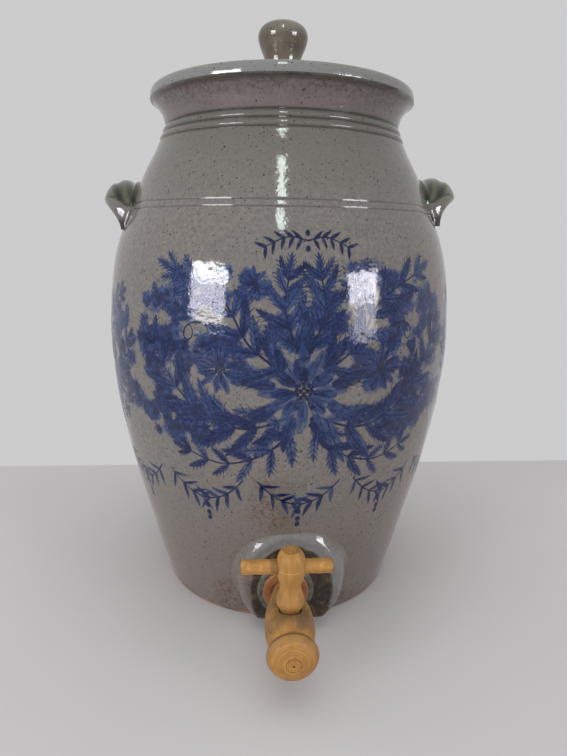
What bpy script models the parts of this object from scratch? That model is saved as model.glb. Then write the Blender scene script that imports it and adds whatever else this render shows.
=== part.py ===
"""Stoneware water pot with a turned wooden tap.

Metres, +Z up. The origin is the centre of the foot's flat underside.
The tap points along -Y, and the lug handles stand at -X and +X.
"""

import math

import bmesh
import bpy
from mathutils import Vector

# Pot, outside
BODY_HEIGHT = 0.380
FOOT_RADIUS = 0.0946
FOOT_ROUND = 0.0025
BELLY_RADIUS = 0.1335
BELLY_HEIGHT = 0.201
NECK_RADIUS = 0.0873
NECK_DROP = 0.0245
LIP_RADIUS = 0.0977
LIP_DROP = 0.006
RIM_TOP_RADIUS = 0.0930

# Pot, inside
WALL = 0.0083
FLOOR = 0.0100
FLOOR_ROUND = 0.0120
GALLERY_RADIUS = 0.0876
GALLERY_DEPTH = 0.0080

# Grooves turned in the neck, counted down from its narrowest place
NECK_GROOVES = 3
NECK_GROOVE_FIRST = 0.0005
NECK_GROOVE_PITCH = 0.0054
NECK_GROOVE_HALF = 0.0011
NECK_GROOVE_DEPTH = 0.0008

# The body's curve. Each pair is a share of the change in radius and of the climb,
# from the foot to the belly, from the belly to the neck, and from the neck to the lip
LOWER_CURVE_SHARES = (
    (0.0, 0.0), (0.18, 0.12), (0.38, 0.28), (0.61, 0.46), (0.845, 0.68), (0.955, 0.85), (1.0, 1.0),
)
UPPER_CURVE_SHARES = (
    (0.0, 0.0), (0.022, 0.15), (0.085, 0.33), (0.21, 0.48), (0.405, 0.62), (0.64, 0.78),
    (0.84, 0.89), (1.0, 1.0),
)
FLARE_SHARES = ((0.20, 0.42), (0.56, 0.74))

# Lug handles. Drops are measured down from the rim's top, for the left handle. The strap stands
# out from the wall's face at the height of its outer edge, and its tips and its root lie at a
# depth behind that face. The two were set by hand, so the right one is higher and stands out more
HANDLE_ROOT_DROP = 0.0728
HANDLE_EDGE_DROP = 0.0762
HANDLE_TIP_DROP = 0.0990
LEFT_HANDLE_OUT = 0.0224
RIGHT_HANDLE_OUT = 0.0270
RIGHT_HANDLE_LIFT = 0.0060
HANDLE_TIP_DEPTH = 0.0050
HANDLE_ROOT_DEPTH = 0.0120
HANDLE_HALF_SPAN = 0.0380
HANDLE_THICKNESS = 0.0092
HANDLE_TIP_THICKNESS = 0.0056
HANDLE_CAMBER = 0.0085
HANDLE_RIBS = 3
HANDLE_RIB_DEPTH = 0.0012

# Powers that bend the strap's arch: how soon each handle's edge draws in towards its tips, how
# long its edge and its root keep their height, and how far out its crest lies
LEFT_SWEEP_POWER = 0.95
RIGHT_SWEEP_POWER = 1.50
EDGE_HEIGHT_POWER = 0.55
ROOT_HEIGHT_POWER = 0.60
CREST_POWER = 1.25

# Lid
LID_CLEARANCE = 0.0007
LID_EDGE = 0.0064
LID_THICKNESS = 0.0075
LID_RISE = 0.0085
LID_RING_DEPTH = 0.0095
LID_RING_WALL = 0.0055
LID_EDGE_ROUND = 0.0015
KNOB_HEIGHT = 0.0432
KNOB_RADIUS = 0.0184
KNOB_STEM_RADIUS = 0.0137
KNOB_BASE_RADIUS = 0.0165

# The knob's head, from its top out and down to its stem, as shares of its radius and height
KNOB_HEAD_SHARES = ((0.0, 1.0), (0.50, 0.98), (0.86, 0.90), (1.0, 0.77), (0.93, 0.62))
KNOB_STEM_SHARE = 0.42
KNOB_NECK_SHARE = 0.22

# Tap. Along its level axis, places are measured outwards from the boss's face
TAP_HEIGHT = 0.0370
TAP_RADIUS = 0.01585
TAIL_DEPTH = 0.0285
TAIL_RADIUS = 0.0092
TAIL_TIP_RADIUS = 0.0086
TAIL_LENGTH = 0.0335
NECK_LENGTH = 0.0130
TAP_NECK_RADIUS = 0.0122
NECK_TO_KEY = 0.0255
TAP_WAIST_RADIUS = 0.0116
KEY_TO_WAIST = 0.0182
WAIST_TO_BUTTON = 0.0063
BUTTON_HALF = 0.0030
NOSE_LENGTH = 0.0082
TAP_BORE_RADIUS = 0.0040

# The barrel's curves. Each pair is a share of a radius or of a change in radius,
# and a share of the length of its stretch
NOSE_SHARES = ((0.0, 1.0), (0.35, 0.90), (0.66, 0.67), (0.90, 0.36), (1.0, 0.0))
BUTTON_BACK_SHARES = ((0.965, 0.35), (0.87, 0.0))
WAIST_FRONT_SHARE = 0.14
BULGE_FRONT_SHARES = ((0.0, 1.0), (0.62, 0.60), (0.92, 0.33), (1.0, 0.0))
BULGE_BACK_SHARES = ((0.935, 0.70), (0.70, 0.42), (0.0, 0.0))
NECK_CURVE_SHARES = ((0.42, 0.45), (0.0, 0.0))

# Clay pad, washer and bung round the tail. The pad's face stands proud of the wall, the pad was
# set a little to one side of the hole, and it is cut away below by a slope under its face
BOSS_PROUD = 0.00924
BOSS_SHIFT = 0.0045
BOSS_FACE_RADIUS = 0.0292
BOSS_RADIUS = 0.0385
BOSS_EDGE_DEPTH = 0.0070
BOSS_UNDERCUT_HEIGHT = 0.0105
BOSS_UNDERCUT_SLOPE = math.radians(20.4)
WASHER_THICKNESS = 0.0020
WASHER_RADIUS = 0.0199
BUNG_RADIUS = 0.0128
BUNG_HEAD_RADIUS = 0.0159
BUNG_HEAD_THICKNESS = 0.0025
BUNG_DEPTH = 0.0215

# Key: heights above the tap's axis. The crossbar was pushed through a little further at -X
KEY_TOP = 0.0557
KEY_FACE_RADIUS = 0.0056
KEY_HEAD_RADIUS = 0.00885
KEY_HEAD_HEIGHT = 0.0446
KEY_WAIST_RADIUS = 0.0065
KEY_WAIST_HEIGHT = 0.0316
KEY_COLLAR_RADIUS = 0.0085
KEY_COLLAR_HEIGHT = 0.0210
PLUG_TOP_RADIUS = 0.0064
PLUG_TOP_HEIGHT = 0.0150
PLUG_END_RADIUS = 0.0052
PLUG_END_DEPTH = 0.0176
PORT_RADIUS = 0.0030
CROSSBAR_RADIUS = 0.00475
CROSSBAR_LENGTH = 0.0570
CROSSBAR_SHIFT = 0.0026
CROSSBAR_ROUND = 0.0008

# The key's curves between its face, head, waist, collar and plug, as pairs of shares
# of the change in radius and of the drop
KEY_FACE_SHARES = ((0.0, 0.0), (0.42, 0.16), (0.84, 0.50))
KEY_HEAD_SHARES = ((0.0, 0.0), (0.09, 0.30), (0.60, 0.68), (1.0, 1.0))
KEY_COLLAR_SHARES = ((0.45, 0.50), (1.0, 1.0))

# Cork liner of the key hole: heights above and below the tap's axis
LINER_WALL = 0.0016
LINER_TOP = 0.0125
LINER_DEPTH = 0.0140

# Fits and modelling
GAP = 0.0003
NECK_HEIGHT = BODY_HEIGHT - NECK_DROP
KEY_REACH = TAIL_LENGTH - TAIL_DEPTH + NECK_LENGTH + NECK_TO_KEY
OVERRUN = 0.0040
MERGE_DISTANCE = 0.00001
POT_STEPS = 48
TAP_STEPS = 28
HANDLE_STATIONS = 18
SHARP_ANGLE = math.radians(40)


def reset_scene():
    """Remove every object and collection of the open file's scene."""
    for found in list(bpy.data.objects):
        bpy.data.objects.remove(found, do_unlink=True)
    for found in list(bpy.data.collections):
        bpy.data.collections.remove(found)


def new_collection(name):
    made = bpy.data.collections.new(name)
    bpy.context.scene.collection.children.link(made)
    return made


def new_material(name, colour, roughness):
    made = bpy.data.materials.new(name)
    made.use_nodes = True
    shader = made.node_tree.nodes["Principled BSDF"]
    shader.inputs["Base Color"].default_value = (*colour, 1.0)
    shader.inputs["Roughness"].default_value = roughness
    shader.inputs["Metallic"].default_value = 0.0
    return made


def add_object(name, mesh, collection, material=None):
    made = bpy.data.objects.new(name, mesh)
    collection.objects.link(made)
    if material:
        mesh.materials.append(material)
    mesh.shade_smooth()
    mesh.set_sharp_from_angle(angle=SHARP_ANGLE)
    return made


def add_cutter(name, mesh, collection):
    made = add_object(name, mesh, collection)
    made.hide_render = True
    made.display_type = "WIRE"
    return made


def turned_mesh(name, outline, steps):
    """Turn an outline of (radius, height) points about Z into a closed mesh.

    The outline starts and ends on the axis, or closes on itself, and runs down its outer side.
    """
    profile = bpy.data.meshes.new(name + "_outline")
    links = [(place, place + 1) for place in range(len(outline) - 1)]
    if outline[0][0] > 0:
        links.append((len(outline) - 1, 0))
    profile.from_pydata([(radius, 0, height) for radius, height in outline], links, [])
    holder = bpy.data.objects.new(name + "_outline", profile)
    bpy.context.scene.collection.objects.link(holder)
    screw = holder.modifiers.new("Turn", "SCREW")
    screw.axis = "Z"
    screw.angle = math.tau
    screw.steps = steps
    screw.render_steps = steps
    screw.use_merge_vertices = True
    screw.merge_threshold = MERGE_DISTANCE
    evaluated = holder.evaluated_get(bpy.context.evaluated_depsgraph_get())
    mesh = bpy.data.meshes.new_from_object(evaluated)
    mesh.name = name
    bpy.data.objects.remove(holder)
    bpy.data.meshes.remove(profile)
    return mesh


def cylinder_mesh(name, radius, length, steps):
    """A cylinder along Z, centred on the origin."""
    shape = bmesh.new()
    bmesh.ops.create_cone(
        shape, cap_ends=True, segments=steps, radius1=radius, radius2=radius, depth=length,
    )
    mesh = bpy.data.meshes.new(name)
    shape.to_mesh(mesh)
    shape.free()
    return mesh


def cut(target, cutter):
    carve = target.modifiers.new("Cut " + cutter.name, "BOOLEAN")
    carve.operation = "DIFFERENCE"
    carve.solver = "EXACT"
    carve.object = cutter


def smooth_curve(points, steps):
    """Catmull-Rom curve through 2D points, with the given steps from point to point."""
    last = len(points) - 1
    curve = []
    for place in range(last):
        before = Vector(points[max(place - 1, 0)])
        start = Vector(points[place])
        end = Vector(points[place + 1])
        after = Vector(points[min(place + 2, last)])
        for step in range(steps):
            t = step / steps
            curve.append(tuple(
                (2 * start + (end - before) * t
                 + (2 * before - 5 * start + 4 * end - after) * t ** 2
                 + (3 * start - before - 3 * end + after) * t ** 3) / 2
            ))
    curve.append(tuple(points[last]))
    return curve


def between(shares, start, end):
    """Points at the given shares of the way from one (radius, height) point to another."""
    return [
        (start[0] + (end[0] - start[0]) * wide, start[1] + (end[1] - start[1]) * high)
        for wide, high in shares
    ]


def arc(centre, radii, start, end, steps):
    """Points (radius, height) along an elliptic arc, with angles in degrees from +radius."""
    points = []
    for step in range(steps + 1):
        angle = math.radians(start + (end - start) * step / steps)
        points.append((centre[0] + radii[0] * math.cos(angle), centre[1] + radii[1] * math.sin(angle)))
    return points


def lower_curve(foot_radius, belly_radius, start_height, steps):
    """The body from the foot up to the belly, as (radius, height) points from the foot up."""
    points = between(LOWER_CURVE_SHARES, (foot_radius, start_height), (belly_radius, BELLY_HEIGHT))
    return smooth_curve(points, steps)


def upper_curve(belly_radius, neck_radius):
    """The body from the belly up to the neck, as (radius, height) points from the belly up."""
    return between(UPPER_CURVE_SHARES, (belly_radius, BELLY_HEIGHT), (neck_radius, NECK_HEIGHT))


def radius_at(outline, height, otherwise):
    """An upward outline's radius at a height, or another radius where it has no such height."""
    for low, high in zip(outline, outline[1:]):
        if low[1] <= height <= high[1]:
            share = (height - low[1]) / (high[1] - low[1])
            return low[0] + (high[0] - low[0]) * share
    return otherwise


def neck_with_grooves(outline):
    """Turn the neck grooves into an outline that runs from the belly up to the neck."""
    lowest = NECK_GROOVE_FIRST + NECK_GROOVE_PITCH * (NECK_GROOVES - 1) + NECK_GROOVE_HALF
    limit = NECK_HEIGHT - lowest - NECK_GROOVE_HALF
    grooved = [point for point in outline if point[1] < limit]

    for groove in reversed(range(NECK_GROOVES)):
        middle = NECK_HEIGHT - NECK_GROOVE_FIRST - NECK_GROOVE_PITCH * groove
        low, high = middle - NECK_GROOVE_HALF, middle + NECK_GROOVE_HALF
        grooved.append((radius_at(outline, low, NECK_RADIUS), low))
        grooved.append((radius_at(outline, middle, NECK_RADIUS) - NECK_GROOVE_DEPTH, middle))
        grooved.append((radius_at(outline, high, NECK_RADIUS), high))
    return grooved


def outer_outline(offset=0.0):
    """The pot's outer side from the foot's edge up to the rim's top."""
    foot = arc((FOOT_RADIUS - FOOT_ROUND, FOOT_ROUND), (FOOT_ROUND, FOOT_ROUND), -90, -20, 2)
    body = lower_curve(FOOT_RADIUS, BELLY_RADIUS, FOOT_ROUND, 2)
    shoulder = neck_with_grooves(upper_curve(BELLY_RADIUS, NECK_RADIUS))
    lip = (LIP_RADIUS, BODY_HEIGHT - LIP_DROP)
    flare = between(FLARE_SHARES, (NECK_RADIUS, NECK_HEIGHT), lip)
    roll = arc((RIM_TOP_RADIUS, lip[1]), (LIP_RADIUS - RIM_TOP_RADIUS, LIP_DROP), 0, 90, 4)
    line = foot + body[1:] + shoulder[1:] + flare + roll
    return [(radius + offset, height) for radius, height in line]


def inner_outline():
    """The pot's inner side from the rim's top down to the floor's middle."""
    lip_height = BODY_HEIGHT - LIP_DROP
    ledge_height = BODY_HEIGHT - GALLERY_DEPTH
    throat = NECK_RADIUS - WALL
    rim = arc((RIM_TOP_RADIUS, lip_height), (RIM_TOP_RADIUS - GALLERY_RADIUS, LIP_DROP), 90, 180, 3)
    shoulder = upper_curve(BELLY_RADIUS - WALL, throat)
    body = lower_curve(FOOT_RADIUS - WALL, BELLY_RADIUS - WALL, FLOOR, 1)
    corner = body[1]
    floor = arc((corner[0] - FLOOR_ROUND, FLOOR + FLOOR_ROUND), (FLOOR_ROUND, FLOOR_ROUND), -15, -90, 3)
    return (
        rim[1:] + [(GALLERY_RADIUS, ledge_height), (throat, ledge_height)]
        + shoulder[::-1] + body[1:-1][::-1] + floor + [(0, FLOOR)]
    )


def wall_radius(height):
    """Distance from the pot's axis to the wall's outer face at a height."""
    return radius_at(outer_outline(), height, FOOT_RADIUS)


def boss_face():
    """Distance from the pot's axis to the boss's flat face."""
    return wall_radius(TAP_HEIGHT) + BOSS_PROUD


def place_on_tap(piece):
    """Turn a piece's own axis out along the tap's, with its zero at the boss's face."""
    piece.rotation_euler = (math.radians(90), 0, 0)
    piece.location = (0, -boss_face(), TAP_HEIGHT)


def make_pot(parts, cutters, glaze):
    outline = inner_outline()[::-1] + outer_outline()[::-1] + [(0, 0)]
    pot = add_object("pot_body", turned_mesh("pot_body", outline, POT_STEPS), parts, glaze)
    hole = add_cutter(
        "bung_hole_cutter",
        cylinder_mesh("bung_hole_cutter", BUNG_RADIUS + GAP, BOSS_RADIUS + OVERRUN, TAP_STEPS),
        cutters,
    )
    hole.rotation_euler = (math.radians(90), 0, 0)
    hole.location = (0, -(boss_face() - BOSS_RADIUS / 2), TAP_HEIGHT)
    cut(pot, hole)
    return pot, hole


def make_clearance_cutter(cutters):
    """The pot's outer form, wider by the gap: it shapes the pieces that are joined to the wall."""
    outline = [(0, BODY_HEIGHT)] + outer_outline(GAP)[::-1] + [(0, 0)]
    return add_cutter("pot_form_cutter", turned_mesh("pot_form_cutter", outline, POT_STEPS), cutters)


def make_undercut_cutter(cutters):
    """A block under the sloping plane that bounds the boss below."""
    shape = bmesh.new()
    bmesh.ops.create_cube(shape, size=2 * (BOSS_RADIUS + BOSS_SHIFT + OVERRUN))
    mesh = bpy.data.meshes.new("boss_undercut_cutter")
    shape.to_mesh(mesh)
    shape.free()
    block = add_cutter("boss_undercut_cutter", mesh, cutters)
    upright = Vector((0, math.sin(BOSS_UNDERCUT_SLOPE), math.cos(BOSS_UNDERCUT_SLOPE)))
    block.rotation_euler = (-BOSS_UNDERCUT_SLOPE, 0, 0)
    block.location = Vector((0, -boss_face(), BOSS_UNDERCUT_HEIGHT))
    block.location -= upright * (BOSS_RADIUS + BOSS_SHIFT + OVERRUN)
    return block


def make_boss(parts, cutters, pot_form, hole, glaze):
    back = FOOT_RADIUS - WALL - boss_face()
    edge = arc((BOSS_FACE_RADIUS, -BOSS_EDGE_DEPTH),
               (BOSS_RADIUS - BOSS_FACE_RADIUS, BOSS_EDGE_DEPTH), 90, 0, 5)
    outline = [(0, 0)] + edge + [(BOSS_RADIUS, back), (0, back)]
    boss = add_object("tap_boss", turned_mesh("tap_boss", outline, TAP_STEPS), parts, glaze)
    place_on_tap(boss)
    boss.location.x = BOSS_SHIFT
    cut(boss, pot_form)
    cut(boss, hole)
    cut(boss, make_undercut_cutter(cutters))
    return boss


def handle_seat(lift, out):
    """Height of a handle's tips, and where its outer edge, tips and root lie from the pot's axis."""
    top = BODY_HEIGHT + lift
    edge = wall_radius(top - HANDLE_EDGE_DROP) + out
    tip = wall_radius(top - HANDLE_TIP_DROP) - HANDLE_TIP_DEPTH
    root = wall_radius(top - HANDLE_ROOT_DROP) - HANDLE_ROOT_DEPTH
    return top - HANDLE_TIP_DROP, edge, tip, root


def handle_section(turn, seat, sweep):
    """Inner edge, outer edge, thickness and rib depth of the strap at an angle of its arch.

    The arch runs from its front tip at -90 degrees over the crest at 0 to its rear tip at 90.
    """
    tip_height, edge, tip, root = seat
    rise = max(math.cos(turn), 0.0)
    along = HANDLE_HALF_SPAN * math.sin(turn)
    outer = Vector((
        tip + (edge - tip) * rise ** sweep,
        along,
        tip_height + (HANDLE_TIP_DROP - HANDLE_EDGE_DROP) * rise ** EDGE_HEIGHT_POWER,
    ))
    inner = Vector((
        root,
        along,
        tip_height + (HANDLE_TIP_DROP - HANDLE_ROOT_DROP) * rise ** ROOT_HEIGHT_POWER,
    ))
    thickness = HANDLE_TIP_THICKNESS + (HANDLE_THICKNESS - HANDLE_TIP_THICKNESS) * rise
    return inner, outer, thickness, HANDLE_RIB_DEPTH * rise


def strap_ring(turn, seat, sweep):
    """The points round the strap's section at an angle of its arch."""
    inner, outer, thickness, rib = handle_section(turn, seat, sweep)
    nudge = math.radians(1)
    low = max(turn - nudge, math.radians(-90))
    high = min(turn + nudge, math.radians(90))
    behind = sum(handle_section(low, seat, sweep)[:2], Vector()) / 2
    ahead = sum(handle_section(high, seat, sweep)[:2], Vector()) / 2
    across = outer - inner
    up = across.cross(ahead - behind).normalized()
    rise = math.cos(turn)
    top_points = 4 * HANDLE_RIBS
    under_points = top_points // 2
    ring = []
    for place in range(top_points + 1):
        share = place / top_points
        rounding = math.sqrt(max(1 - (2 * share - 1) ** 6, 0))
        groove = rib * (1 + math.cos(math.tau * HANDLE_RIBS * share)) / 2
        camber = HANDLE_CAMBER * rise * math.sin(math.pi * share ** CREST_POWER)
        ring.append(inner + across * share + up * (camber + (thickness / 2 - groove) * rounding))
    for place in range(1, under_points):
        share = 1 - place / under_points
        rounding = math.sqrt(max(1 - (2 * share - 1) ** 6, 0))
        camber = HANDLE_CAMBER * rise * math.sin(math.pi * share ** CREST_POWER)
        ring.append(inner + across * share + up * (camber - thickness / 2 * rounding))
    return ring


def handle_mesh(name, lift, out, sweep):
    """A ribbed strap lofted along its arch, for the side of +X."""
    shape = bmesh.new()
    seat = handle_seat(lift, out)
    turns = [math.radians(-90 + 180 * station / HANDLE_STATIONS) for station in range(HANDLE_STATIONS + 1)]
    rings = [[shape.verts.new(point) for point in strap_ring(turn, seat, sweep)] for turn in turns]
    count = len(rings[0])
    for near, far in zip(rings, rings[1:]):
        for place in range(count):
            following = (place + 1) % count
            shape.faces.new((near[place], near[following], far[following], far[place]))
    shape.faces.new(rings[0])
    shape.faces.new(rings[-1])
    bmesh.ops.recalc_face_normals(shape, faces=shape.faces)
    mesh = bpy.data.meshes.new(name)
    shape.to_mesh(mesh)
    shape.free()
    return mesh


def make_handles(parts, pot_form, glaze):
    for name, heading, lift, out, sweep in (
        ("handle_right", 0, RIGHT_HANDLE_LIFT, RIGHT_HANDLE_OUT, RIGHT_SWEEP_POWER),
        ("handle_left", 180, 0, LEFT_HANDLE_OUT, LEFT_SWEEP_POWER),
    ):
        handle = add_object(name, handle_mesh(name, lift, out, sweep), parts, glaze)
        handle.rotation_euler = (0, 0, math.radians(heading))
        cut(handle, pot_form)


def make_lid(parts, glaze, knob_glaze):
    seat = BODY_HEIGHT - GALLERY_DEPTH + GAP
    edge_radius = GALLERY_RADIUS - LID_CLEARANCE
    ring_radius = NECK_RADIUS - WALL - LID_CLEARANCE
    edge_top = seat + LID_EDGE
    crown = edge_top + LID_RISE
    outline = [(0, crown)]
    outline += arc((0, edge_top - LID_EDGE_ROUND), (edge_radius, LID_RISE + LID_EDGE_ROUND), 75, 12, 6)
    outline += [
        (edge_radius, edge_top - LID_EDGE_ROUND),
        (edge_radius, seat + LID_EDGE_ROUND),
        (edge_radius - LID_EDGE_ROUND, seat),
        (ring_radius, seat),
        (ring_radius, seat - LID_RING_DEPTH + LID_EDGE_ROUND),
        (ring_radius - LID_EDGE_ROUND, seat - LID_RING_DEPTH),
        (ring_radius - LID_RING_WALL, seat - LID_RING_DEPTH),
        (ring_radius - LID_RING_WALL, seat),
    ]
    inside = ring_radius - LID_RING_WALL
    outline += arc((0, seat), (inside, crown - LID_THICKNESS - seat), 30, 90, 4)
    plate = add_object("lid_plate", turned_mesh("lid_plate", outline, POT_STEPS), parts, glaze)

    base = crown + GAP
    head = between(KNOB_HEAD_SHARES, (0, base), (KNOB_RADIUS, base + KNOB_HEIGHT))
    stem_height = base + KNOB_HEIGHT * KNOB_STEM_SHARE
    neck_height = base + KNOB_HEIGHT * KNOB_NECK_SHARE
    stem = [(KNOB_STEM_RADIUS, stem_height), (KNOB_STEM_RADIUS, neck_height), (KNOB_BASE_RADIUS, base)]
    turned = smooth_curve(head + stem, 2) + [(0, base)]
    knob = add_object("lid_knob", turned_mesh("lid_knob", turned, TAP_STEPS), parts, knob_glaze)
    knob.parent = plate
    return plate


def barrel_outline():
    """The tap's barrel from its nose down to its tail and up its bore, about its own axis."""
    tail_start = TAIL_LENGTH - TAIL_DEPTH
    neck_end = tail_start + NECK_LENGTH
    waist = KEY_REACH + KEY_TO_WAIST
    rim = waist + WAIST_TO_BUTTON
    button_back = rim - BUTTON_HALF
    nose = between(NOSE_SHARES, (0, rim), (TAP_RADIUS, rim + NOSE_LENGTH))
    button = between(BUTTON_BACK_SHARES, (0, button_back), (TAP_RADIUS, rim))
    waist_start = TAP_WAIST_RADIUS + (TAP_RADIUS - TAP_WAIST_RADIUS) * WAIST_FRONT_SHARE
    middle = smooth_curve(
        [(waist_start, button_back)]
        + between(BULGE_FRONT_SHARES, (TAP_WAIST_RADIUS, KEY_REACH), (TAP_RADIUS, waist))
        + between(BULGE_BACK_SHARES, (TAP_NECK_RADIUS, neck_end), (TAP_RADIUS, KEY_REACH))
        + between(NECK_CURVE_SHARES, (TAIL_RADIUS, tail_start), (TAP_NECK_RADIUS, neck_end)), 2,
    )
    bore_end = KEY_REACH - PLUG_END_RADIUS
    tail = [
        (TAIL_TIP_RADIUS, -TAIL_DEPTH), (TAP_BORE_RADIUS, -TAIL_DEPTH),
        (TAP_BORE_RADIUS, bore_end), (0, bore_end),
    ]
    return nose + button + middle + tail


def key_place():
    """Where the key's axis crosses the tap's."""
    return Vector((0, -boss_face() - KEY_REACH, TAP_HEIGHT))


def plug_radius(height):
    """Radius of the key's tapered plug at a height from the tap's axis."""
    share = (height + PLUG_END_DEPTH) / (PLUG_TOP_HEIGHT + PLUG_END_DEPTH)
    return PLUG_END_RADIUS + (PLUG_TOP_RADIUS - PLUG_END_RADIUS) * share


def level_cutter(name, radius, length, place, heading, cutters):
    """A level cylinder that cuts a port, centred on a place, with its axis at a heading from X."""
    made = add_cutter(name, cylinder_mesh(name, radius, length, TAP_STEPS // 2), cutters)
    made.rotation_euler = (0, math.radians(90), math.radians(heading))
    made.location = place
    return made


def make_barrel(parts, cutters, wood):
    barrel = add_object("tap_barrel", turned_mesh("tap_barrel", barrel_outline(), TAP_STEPS), parts, wood)
    place_on_tap(barrel)
    reach = TAP_RADIUS + OVERRUN
    outline = [
        (0, reach),
        (plug_radius(reach) + GAP + LINER_WALL + GAP, reach),
        (plug_radius(-reach) + GAP + LINER_WALL + GAP, -reach),
        (0, -reach),
    ]
    bore = add_cutter("key_hole_cutter", turned_mesh("key_hole_cutter", outline, TAP_STEPS), cutters)
    bore.location = key_place()
    cut(barrel, bore)


def make_liner(parts, cutters, cork):
    outline = [
        (plug_radius(LINER_TOP) + GAP, LINER_TOP),
        (plug_radius(LINER_TOP) + GAP + LINER_WALL, LINER_TOP),
        (plug_radius(-LINER_DEPTH) + GAP + LINER_WALL, -LINER_DEPTH),
        (plug_radius(-LINER_DEPTH) + GAP, -LINER_DEPTH),
    ]
    liner = add_object("key_cork_liner", turned_mesh("key_cork_liner", outline, TAP_STEPS), parts, cork)
    liner.location = key_place()
    inlet = level_cutter(
        "liner_inlet_cutter", TAP_BORE_RADIUS, 2 * PLUG_TOP_RADIUS,
        key_place() + Vector((0, PLUG_TOP_RADIUS + PORT_RADIUS, 0)), 90, cutters,
    )
    cut(liner, inlet)


def key_outline():
    """The key from its top face down to the end of its plug and up its bore."""
    head = (KEY_HEAD_RADIUS, KEY_HEAD_HEIGHT)
    waist = (KEY_WAIST_RADIUS, KEY_WAIST_HEIGHT)
    turned = smooth_curve(
        between(KEY_FACE_SHARES, (KEY_FACE_RADIUS, KEY_TOP), head)
        + between(KEY_HEAD_SHARES, head, waist)
        + between(KEY_COLLAR_SHARES, waist, (KEY_COLLAR_RADIUS, KEY_COLLAR_HEIGHT))
        + [(PLUG_TOP_RADIUS, PLUG_TOP_HEIGHT)], 2,
    )
    return [(0, KEY_TOP)] + turned + [
        (PLUG_END_RADIUS, -PLUG_END_DEPTH),
        (PORT_RADIUS, -PLUG_END_DEPTH),
        (PORT_RADIUS, PORT_RADIUS),
        (0, PORT_RADIUS),
    ]


def make_key(parts, cutters, wood):
    key = add_object("tap_key", turned_mesh("tap_key", key_outline(), TAP_STEPS), parts, wood)
    key.location = key_place()
    port = level_cutter(
        "key_port_cutter", PORT_RADIUS, 2 * PLUG_TOP_RADIUS,
        key_place() - Vector((PLUG_TOP_RADIUS, 0, 0)), 0, cutters,
    )
    cross_hole = level_cutter(
        "crossbar_hole_cutter", CROSSBAR_RADIUS + GAP, 2 * KEY_HEAD_RADIUS + OVERRUN,
        key_place() + Vector((0, 0, KEY_HEAD_HEIGHT)), 0, cutters,
    )
    cut(key, port)
    cut(key, cross_hole)

    bar = add_object(
        "key_crossbar",
        cylinder_mesh("key_crossbar", CROSSBAR_RADIUS, CROSSBAR_LENGTH, TAP_STEPS // 2), parts, wood,
    )
    rounding = bar.modifiers.new("Round ends", "BEVEL")
    rounding.width = CROSSBAR_ROUND
    rounding.segments = 2
    rounding.limit_method = "ANGLE"
    bar.parent = key
    bar.rotation_euler = (0, math.radians(90), 0)
    bar.location = (-CROSSBAR_SHIFT, 0, KEY_HEAD_HEIGHT)


def make_bung_and_washer(parts, cork, rubber):
    washer_front = GAP + WASHER_THICKNESS
    hole = BUNG_RADIUS + GAP
    washer = add_object("seal_washer", turned_mesh("seal_washer", [
        (hole, washer_front), (WASHER_RADIUS, washer_front),
        (WASHER_RADIUS, GAP), (hole, GAP),
    ], TAP_STEPS), parts, rubber)

    head_back = washer_front + GAP
    head_front = head_back + BUNG_HEAD_THICKNESS
    bore = TAIL_RADIUS + GAP
    bung = add_object("bung_cork", turned_mesh("bung_cork", [
        (bore, head_front), (BUNG_HEAD_RADIUS, head_front), (BUNG_HEAD_RADIUS, head_back),
        (BUNG_RADIUS, head_back), (BUNG_RADIUS, -BUNG_DEPTH), (bore, -BUNG_DEPTH),
    ], TAP_STEPS), parts, cork)
    place_on_tap(washer)
    place_on_tap(bung)


def main():
    reset_scene()
    parts = new_collection("water_pot_with_tap")
    cutters = new_collection("cutters")
    clay = new_material("salt_glaze_grey", (0.36, 0.34, 0.32), 0.28)
    knob_clay = new_material("knob_brown_glaze", (0.22, 0.18, 0.14), 0.22)
    wood = new_material("turned_wood", (0.62, 0.38, 0.14), 0.50)
    cork = new_material("cork", (0.45, 0.20, 0.08), 0.80)
    rubber = new_material("grey_green_rubber", (0.20, 0.20, 0.16), 0.70)

    pot, hole = make_pot(parts, cutters, clay)
    pot_form = make_clearance_cutter(cutters)
    make_boss(parts, cutters, pot_form, hole, clay)
    make_handles(parts, pot_form, clay)
    make_lid(parts, clay, knob_clay)
    make_barrel(parts, cutters, wood)
    make_liner(parts, cutters, cork)
    make_key(parts, cutters, wood)
    make_bung_and_washer(parts, cork, rubber)
    bpy.context.view_layer.update()


main()
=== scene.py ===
"""Looks of a stoneware water pot with a wooden tap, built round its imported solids.

Metres, +Z up, in the frame of the solids: the tap points along -Y. Angles round the pot are
measured from the tap's side towards +X.
"""

import math
import random

import bmesh
import bpy
import numpy as np
from mathutils import Matrix, Vector


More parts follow.
